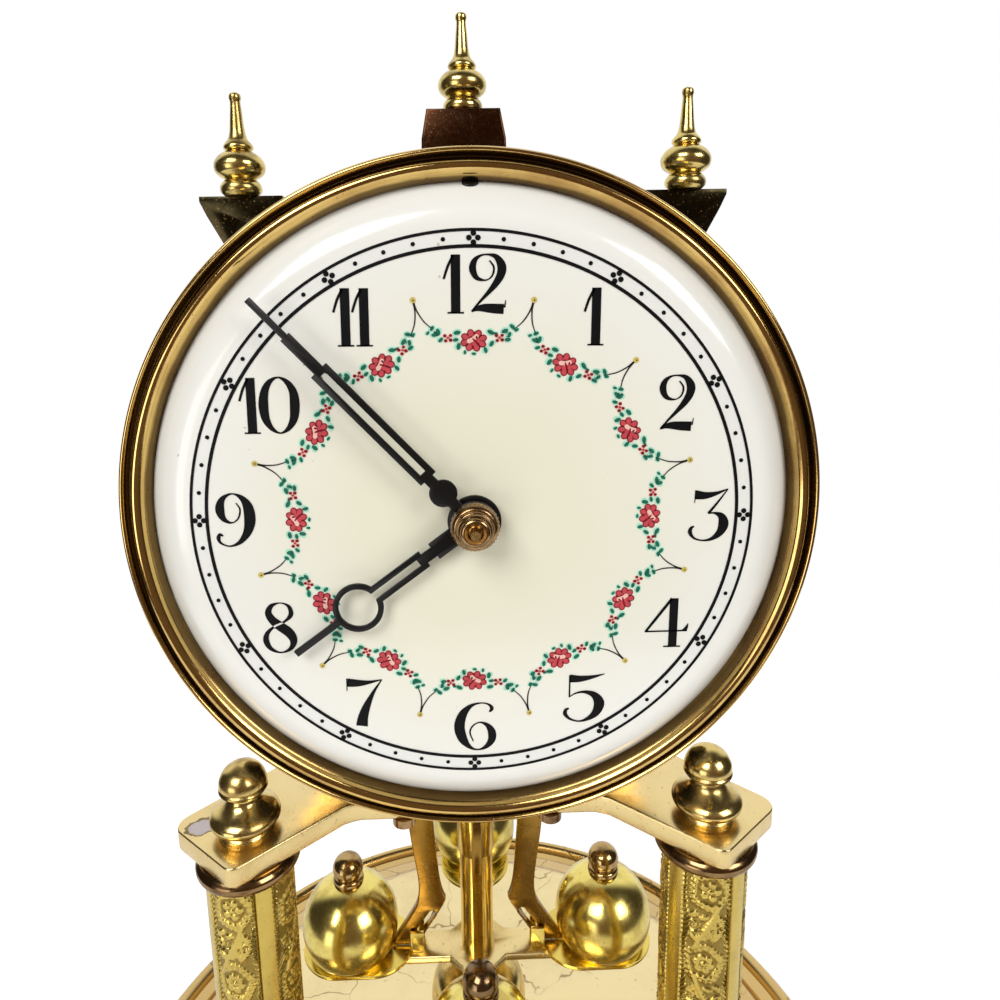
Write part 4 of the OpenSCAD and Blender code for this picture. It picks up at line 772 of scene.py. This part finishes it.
# The digits drawn as closed rings, the height of all digits in millimetres, and the gap between the two digits
# of an hour in hundredths of that height
CLOSED = "08"
NUMERAL_H = 8.15
DIGIT_GAPS = {10: -6.0, 11: -14.0, 12: 3.0}


def make_numerals(art):
    unit = NUMERAL_H / 100.0
    for hour in range(1, 13):
        digits = str(hour)
        angle = radians(30.0 * hour)
        reach = 34.7 if hour in (3, 9) else 33.7
        gap = DIGIT_GAPS.get(hour, 0.0)
        width = sum(WIDTHS[d] for d in digits) + gap * (len(digits) - 1)
        x = reach * sin(angle) - width * unit / 2.0
        z = reach * cos(angle) - NUMERAL_H / 2.0
        for digit in digits:
            for points in DIGITS[digit]:
                art.stroke("black", points, (x, z), unit, 1, digit in CLOSED)
            x += (WIDTHS[digit] + gap) * unit


def make_track(art):
    """Two circles with a dot for each minute and four dots for each fifth one."""
    for r, wide in ((TRACK_IN, 0.25), (TRACK_OUT, 0.21)):
        art.area("black", [ellipse(0, 0, r + side, r + side, 240) for side in (wide, -wide)], 1)
    for minute in range(60):
        a = radians(6.0 * minute)
        x, z = TRACK_DOTS * sin(a), TRACK_DOTS * cos(a)
        if minute % 5:
            art.blob("black", x, z, 0.31, 0.31, 0.0, 1)
        else:
            for b in (a + pi / 2.0 * k for k in range(4)):
                art.blob("black", x + 0.62 * sin(b), z + 0.62 * cos(b), 0.40, 0.40, 0.0, 1)


# How far the roses and the gold dots lie from the hands' axis. Places round a rose: leaves as
# (x, z, turn, size), and the petals of a small flower as (x, z, radius)
ROSE_REACH, DOT_REACH = 25.9, 32.6
ROSE_LEAVES = ((-2.35, 1.1, 0.3, 1.1), (-2.55, 0.1, -0.2, 0.9), (-2.15, -0.8, 0.5, 1.1), (2.35, 1.15, -0.4, 1.1),
    (2.5, -0.45, 0.6, 1.0), (1.65, -1.35, 0.9, 1.0), (0.0, -1.85, 0.0, 0.7), (-4.65, 0.1, 0.4, 0.9),
    (-5.0, 1.2, 0.9, 1.1), (-5.5, 0.8, 0.2, 1.0), (-5.85, 1.7, 0.6, 0.9), (-6.45, 1.05, 0.0, 0.7),
    (4.35, 1.3, 0.5, 1.1), (4.75, 0.1, -0.3, 1.0), (5.0, 0.8, 0.3, 0.9), (5.4, 1.9, -0.6, 1.0),
    (6.0, 1.45, 0.2, 0.75), (-1.25, -1.65, 0.7, 0.7), (3.1, 0.95, 0.2, 0.6))
SMALL_FLOWER = ((-0.42, 0.30, 0.26), (0.38, 0.34, 0.24), (-0.30, -0.38, 0.25), (0.40, -0.30, 0.27),
    (0.02, 0.02, 0.20))


def make_garland(art):
    """Twelve swags: a rose with leaves and two small flowers each, hung on thin strings from gold dots."""
    half = radians(15)
    for hour in range(12):
        a = radians(30.0 * hour)
        c, s = cos(a), sin(a)
        flip = 1.0 if hour in (0, 1, 2, 3, 9, 10, 11) else -1.0

        def at(x, z):
            return x * c + (ROSE_REACH + z) * s, -x * s + (ROSE_REACH + z) * c

        def oval(colour, x, z, rx, rz, turn, level, segments=12):
            art.blob(colour, *at(x, z * flip), rx, rz, turn * flip - a, level, segments)

        for k, (x, z, turn, size) in enumerate(ROSE_LEAVES):
            px, pz = at(x, z)
            art.blob("mint", px, pz, 0.64 * size, 0.48 * size, turn - a, 0, 9)
            lean = turn - a + 0.4 + 0.5 * (k % 3 - 1)
            art.blob("leaf", px + 0.03, pz - 0.02, 0.47 * size, 0.28 * size, lean, 1, 8)
        for side in (-1.0, 1.0):
            for x, z, r in SMALL_FLOWER:
                px, pz = at(side * 3.62 + x, 0.35 + z)
                art.blob("pink", px, pz, r + 0.07, r + 0.05, 0.0, 1, 9)
                art.blob("rose" if r == 0.20 else "dark", px, pz, r, r * 0.9, 0.0, 2, 9)
        oval("dark", 0.0, 0.0, 1.55, 1.25, 0.0, 1, 20)
        for b in (tau * k / 8.0 + 0.3 for k in range(8)):
            oval("dark", 1.32 * cos(b), 1.02 * sin(b), 0.62, 0.52, b, 2)
            oval("rose", 1.34 * cos(b), 1.04 * sin(b), 0.45, 0.36, b, 3)
        for k in range(5):
            b = tau * k / 5.0 + 1.0
            colour = "pink" if k in (0, 2) else "rose"
            oval(colour, 0.62 * cos(b), 0.48 * sin(b) + 0.1, 0.40, 0.34, b, 4)
        oval("pink", -0.12, 0.22, 0.55, 0.38, 0.5, 5)
        oval("dark", 0.18, -0.05, 0.50, 0.15, -0.7, 6, 9)
        oval("dark", -0.38, 0.48, 0.36, 0.11, 0.5, 6, 9)
        oval("dark", 0.42, 0.42, 0.15, 0.24, 0.3, 6, 9)
        for side in (-1.0, 1.0):
            dx, dz = side * DOT_REACH * sin(half), DOT_REACH * cos(half) - ROSE_REACH
            string = ((side * 5.9, 1.7, 0.14), (side * 7.0, 2.7, 0.18), (side * 7.9, 4.1, 0.2),
                (dx - side * 0.12, dz - 0.35, 0.24))
            art.stroke("string", [at(x, z) + (w,) for x, z, w in string], level=1)
        dx, dz = DOT_REACH * sin(a + half), DOT_REACH * cos(a + half)
        art.blob("gold", dx, dz, 0.42, 0.42, 0.0, 2, 14)
        art.blob("black", dx + 0.06, dz - 0.04, 0.13, 0.11, 0.0, 3, 8)


def make_dial_art():
    art = Print()
    make_track(art)
    make_numerals(art)
    make_garland(art)
    art.done({"black": ("dial_print", "print_black", "black_paint"),
        "string": ("dial_strings", "string_grey", "black_paint"),
        "mint": ("dial_leaf_halo", "leaf_mint", "enamel_cream"), "leaf": ("dial_leaves", "leaf_dark", "enamel_cream"),
        "pink": ("dial_pink", "rose_pink", "enamel_cream"), "rose": ("dial_rose", "rose_red", "enamel_cream"),
        "dark": ("dial_rose_edge", "rose_dark", "enamel_cream"), "gold": ("dial_dots", "dot_gold", "enamel_cream")})


def make_hand_nut():
    shape = [(0.72, 0.0), (3.1, 0.0)] + curved([(3.2, 0.05), (3.42, 0.35), (3.42, 1.3), (3.3, 1.75), (3.0, 2.1),
        (2.8, 2.2)], 4) + curved([(2.72, 2.2), (2.68, 2.5), (2.55, 2.68)], 3) \
        + curved([(2.5, 2.7), (2.46, 3.2), (2.2, 3.5)], 3) \
        + curved([(2.12, 3.5), (2.08, 3.8), (1.8, 4.06), (1.5, 4.1)], 3) + [(1.15, 3.9), (0.95, 3.4), (0.72, 3.35)]
    bm = lathe(shape, 96)
    knurl = lathe([(0.0, 0.4), (0.12, 0.4), (0.17, 0.5), (0.17, 1.3), (0.12, 1.4), (0.0, 1.4)], 8)
    shift(knurl, (3.36, 0, 0))
    for k in range(36):
        one = knurl.copy()
        rotate(one, Matrix.Rotation(radians(10.0 * k), 3, "Z"))
        absorb(bm, one)
    knurl.free()
    rotate(bm, STAND_UP)
    shift(bm, (0, DIAL_Y - 3.4, DIAL_Z))
    finish_piece(bm, "hand_nut_turned", "nut_bronze", "hand_nut", 30.0)


# Pendulum
def strap_outline():
    """One leg of the straps from its hub to its foot, and the sloping slot that guides a carrier."""
    f, t = CROSS_Z + 0.9, SPIDER_Z + 5.0
    outer = curved([(9.0, t - 0.4), (12.4, t - 2.2), (14.8, t - 6.0), (15.9, t - 11.0), (15.8, t - 17.0),
        (15.0, t - 24.0), (14.1, t - 31.0), (14.0, 86.0), (14.6, 82.4), (16.6, 78.6), (20.6, f + 0.8)], 4)
    inner = curved([(14.6, f), (8.1, 82.2), (7.8, 83.6)], 2) + curved([(7.85, 83.9), (8.5, 86.0), (9.1, t - 31.0),
        (9.6, t - 24.0), (10.0, t - 16.0), (9.4, t - 10.0), (7.6, t - 6.0), (5.0, t - 4.8), (3.4, t - 4.7)], 4)
    tilt = atan(SLOT_SLOPE)
    slot = []
    for z, start in ((SLOT_Z - 1.3, pi + tilt), (79.7, tilt)):
        x = 14.7 + (SLOT_Z - z) * SLOT_SLOPE
        angles = [start + pi * k / 8.0 for k in range(9)]
        slot += [(x + 0.85 * cos(a), z + 0.85 * sin(a)) for a in angles]
    return [[(3.4, t)] + outer + [(20.4, f)] + inner, slot]


def make_straps():
    whole = bmesh.new()
    for quarter in range(4):
        leg = standing_plate(strap_outline(), STRAP_T, 0.3)
        rotate(leg, Matrix.Rotation(quarter * pi / 2.0, 3, "Z"))
        absorb(whole, leg)
    hub = lathe([(2.65, 0.0), (4.6, 0.0), (5.0, 0.4), (5.0, 4.6), (4.6, 5.0), (2.65, 5.0)], 64)
    shift(hub, (0, 0, SPIDER_Z))
    absorb(whole, hub)
    finish_piece(whole, "straps_pressed", "strap_gold", "strap_spider", 40.0)


def make_balls():
    """Balls with two fine grooves above a tapered foot, and a button on each."""
    low = SEAT_Z - BALL_Z
    grooves = (-4.55, -5.55)

    def tapered(r, z):
        return r - 1.35 * (max(-5.0 - z, 0.0) / 1.65) ** 1.8

    start = asin(low / BALL_R)
    arc = [(BALL_R * cos(a), BALL_R * sin(a))
        for a in (start + (pi / 2.0 - start) * k / 60.0 for k in range(61))]
    arc = [(max(tapered(r, z), 0.0), z) for r, z in arc if all(abs(z - g) > 0.3 for g in grooves)]
    for z0 in grooves:
        for dz, cut in ((-0.24, 0.0), (-0.12, 0.12), (0.0, 0.22), (0.12, 0.12), (0.24, 0.0)):
            z = z0 + dz
            arc.append((tapered(sqrt(BALL_R ** 2 - z * z) - cut, z), z))
    arc.sort(key=lambda p: p[1])
    shape = [(0.0, low), (arc[0][0] - 0.1, low)] + arc
    r, b = 3.65, BALL_R
    button = [(0.0, b - 1.2), (r - 0.3, b - 1.2)] + curved([(r - 0.15, b - 0.8), (r, b + 0.3), (r - 0.2, b + 1.1),
        (r - 0.85, b + 1.5)], 4) + curved([(r - 0.9, b + 1.6), (r - 0.85, b + 1.95), (r - 0.25, b + 2.3),
        (r - 0.02, b + 3.0), (r - 0.2, b + 4.2), (r - 0.85, b + 5.4), (r - 1.95, b + 6.3), (r - 2.9, b + 6.62),
        (0.0, b + 6.7)])
    for word, x, y in (("left", -1, 0), ("right", 1, 0), ("front", 0, -1), ("rear", 0, 1)):
        spot = [(BALL_X * x, BALL_X * y, BALL_Z)]
        turned("ball_%s_shell" % word, shape, "ball_gold", "ball_" + word, spot, 120)
        turned("ball_button_" + word, button, "button_dark" if word == "front" else "button_bronze",
            "ball_finial_" + word, spot, 80)


def make_pendulum_tube():
    z = CROSS_Z
    shape = [(0.0, z - 8.5)] + curved([(0.6, z - 8.5), (1.1, z - 8.1), (1.2, z - 7.4)], 3) + [(1.2, z + 0.02),
        (3.9, z + 0.02), (3.9, 97.0), (4.15, 97.05), (4.3, 97.3), (4.3, 111.5), (4.1, 111.8), (3.9, 111.8),
        (3.9, 112.8), (3.7, 113.0), (1.75, 113.0), (1.75, 105.2), (0.0, 105.2)]
    turned("pendulum_tube_drawn", shape, "tube_gold", "pendulum_tube", steps=80)


def soften(node, width, paint):
    """A copy of a CAD solid with its sharp edges rounded."""
    bm = bmesh.new()
    bm.from_mesh(nodes[node].data)
    bmesh.ops.remove_doubles(bm, verts=bm.verts, dist=2e-6)
    bmesh.ops.dissolve_limit(bm, angle_limit=radians(1.0), verts=bm.verts, edges=bm.edges)
    sharp = [e for e in bm.edges if len(e.link_faces) == 2 and e.calc_face_angle(0.0) > radians(35.0)]
    bmesh.ops.bevel(bm, geom=sharp, offset=width * MM, offset_type="OFFSET", segments=2, profile=0.5,
        affect="EDGES", clamp_overlap=True, material=-1)
    finish_piece(bm, node + "_rounded", paint, node, 34.0)


make_base()
make_cup()
make_column("column_left", -1)
make_column("column_right", 1)
make_collars_and_nuts()
make_top_plate()
make_block_and_finials()
make_ear_rivets()
make_dial_and_bezel()
make_dial_art()
make_straps()
make_balls()
make_pendulum_tube()
make_hand_nut()
for names, width, slot, paint in (
        ("front_plate", 0.25, "dark_brass", "ear_bronze"),
        ("back_plate", 0.2, "polished_brass", "frame_gold"),
        ("cross_plate", 0.25, "satin_brass", "plate_gold"),
        ("carrier_left carrier_right carrier_front carrier_rear", 0.22, "polished_brass", "pad_gold"),
        ("suspension_bracket", 0.2, "polished_brass", "frame_gold"),
        ("rating_disc", 0.08, "polished_brass", "turned_gold"),
        ("minute_hand hour_hand", 0.07, "black_paint", "hand_black")):
    for name in names.split():
        soften(name, width, paint)

# Finishes of the parts that keep their own shape
FINISH = {
    "bright_steel": "base_bottom cup_nut tie_rods tie_rod_nuts barrel_arbor mainspring ratchet_wheel click anchor "
        "suspension_spring",
    "wheel_gold": "movement_pillars dial_posts cannon_pinion minute_wheel hour_wheel centre_wheel second_wheel "
        "third_wheel escape_wheel suspension_block fork pendulum_hook",
    "frame_gold": "barrel", "nut_bronze": "pillar_nuts plate_screws", "foot_black": "base_feet"}
for paint, names in FINISH.items():
    for name in names.split():
        nodes[name].data.materials.clear()
        nodes[name].data.materials.append(PAINT[paint])


# Studio, in metres
WHITE = (1.0, 1.0, 1.0, 1.0)
FLOOR_R = 0.38
AIM = (0, -0.03, 0.13)
LAMPS = (("window", (-0.45, -0.80, 0.88), 0.56, 7.8), ("fill", (0.70, -0.66, 0.66), 0.46, 4.6),
    ("card", (-0.80, -1.05, 0.04), 0.60, 3.2))


def directly_seen(t):
    """One for rays from the camera or through glass, and zero for others; then all outputs of the ray node."""
    rays = t.add("LightPath").outputs
    return t.math("MAXIMUM", rays["Is Camera Ray"], rays["Is Transmission Ray"]), rays


def make_floor():
    """A matt white floor that looks white to the camera and keeps the soft shadow."""
    t, bsdf, where = surface("floor_white")
    seen, rays = directly_seen(t)
    seen = t.math("MAXIMUM", seen, t.times(rays["Is Glossy Ray"], 0.1))
    t.fill(bsdf, {"Base Color": t.blend(t.noise(where, 5.0, 2.0), (0.88, 0.88, 0.88, 1.0), (0.91, 0.905, 0.90, 1.0)),
        "Roughness": 0.7, "Specular IOR Level": 0.2, "Emission Color": WHITE,
        "Emission Strength": t.times(seen, t.ramp(t.length(where), 0.10, 0.33, 0.42, 1.0))})
    bm = bmesh.new()
    bmesh.ops.create_circle(bm, cap_ends=True, segments=96, radius=FLOOR_R)
    mesh = bpy.data.meshes.new("floor")
    bm.to_mesh(mesh)
    bm.free()
    mesh.materials.append(PAINT["floor_white"])
    floor = link(bpy.data.objects.new("floor", mesh))


def make_world():
    """White behind and above, a dim warm room in front that the brass shows, and white to the camera."""
    world = bpy.data.worlds.new("studio")
    scene.world = world
    world.use_nodes = True
    t = Tree(world.node_tree)
    x, y, z = t.parts(t.add("TexCoord").outputs["Generated"])
    room = t.blend(t.ramp(y, -0.35, -0.9), (0.05, 0.041, 0.034, 1.0), (0.15, 0.095, 0.062, 1.0))
    behind = t.plus(y, t.times(t.math("MAXIMUM", z, 0.0), 0.5))
    room = t.blend(t.ramp(behind, 0.42, 0.70), room, WHITE)
    back = t.add("Background", {"Color": t.blend(directly_seen(t)[0], room, WHITE), "Strength": 1.0})
    t.add("OutputWorld", {0: back.outputs[0]})


def make_lamps():
    for name, place, size, power in LAMPS:
        data = bpy.data.lights.new(name, "AREA")
        data.shape = "SQUARE"
        data.size = size
        data.energy = power
        lamp = link(bpy.data.objects.new(name, data))
        lamp.location = place
        lamp.rotation_euler = (Vector(AIM) - Vector(place)).to_track_quat("-Z", "Y").to_euler()


make_world()
make_lamps()
make_floor()
scene.view_settings.view_transform = "Standard"
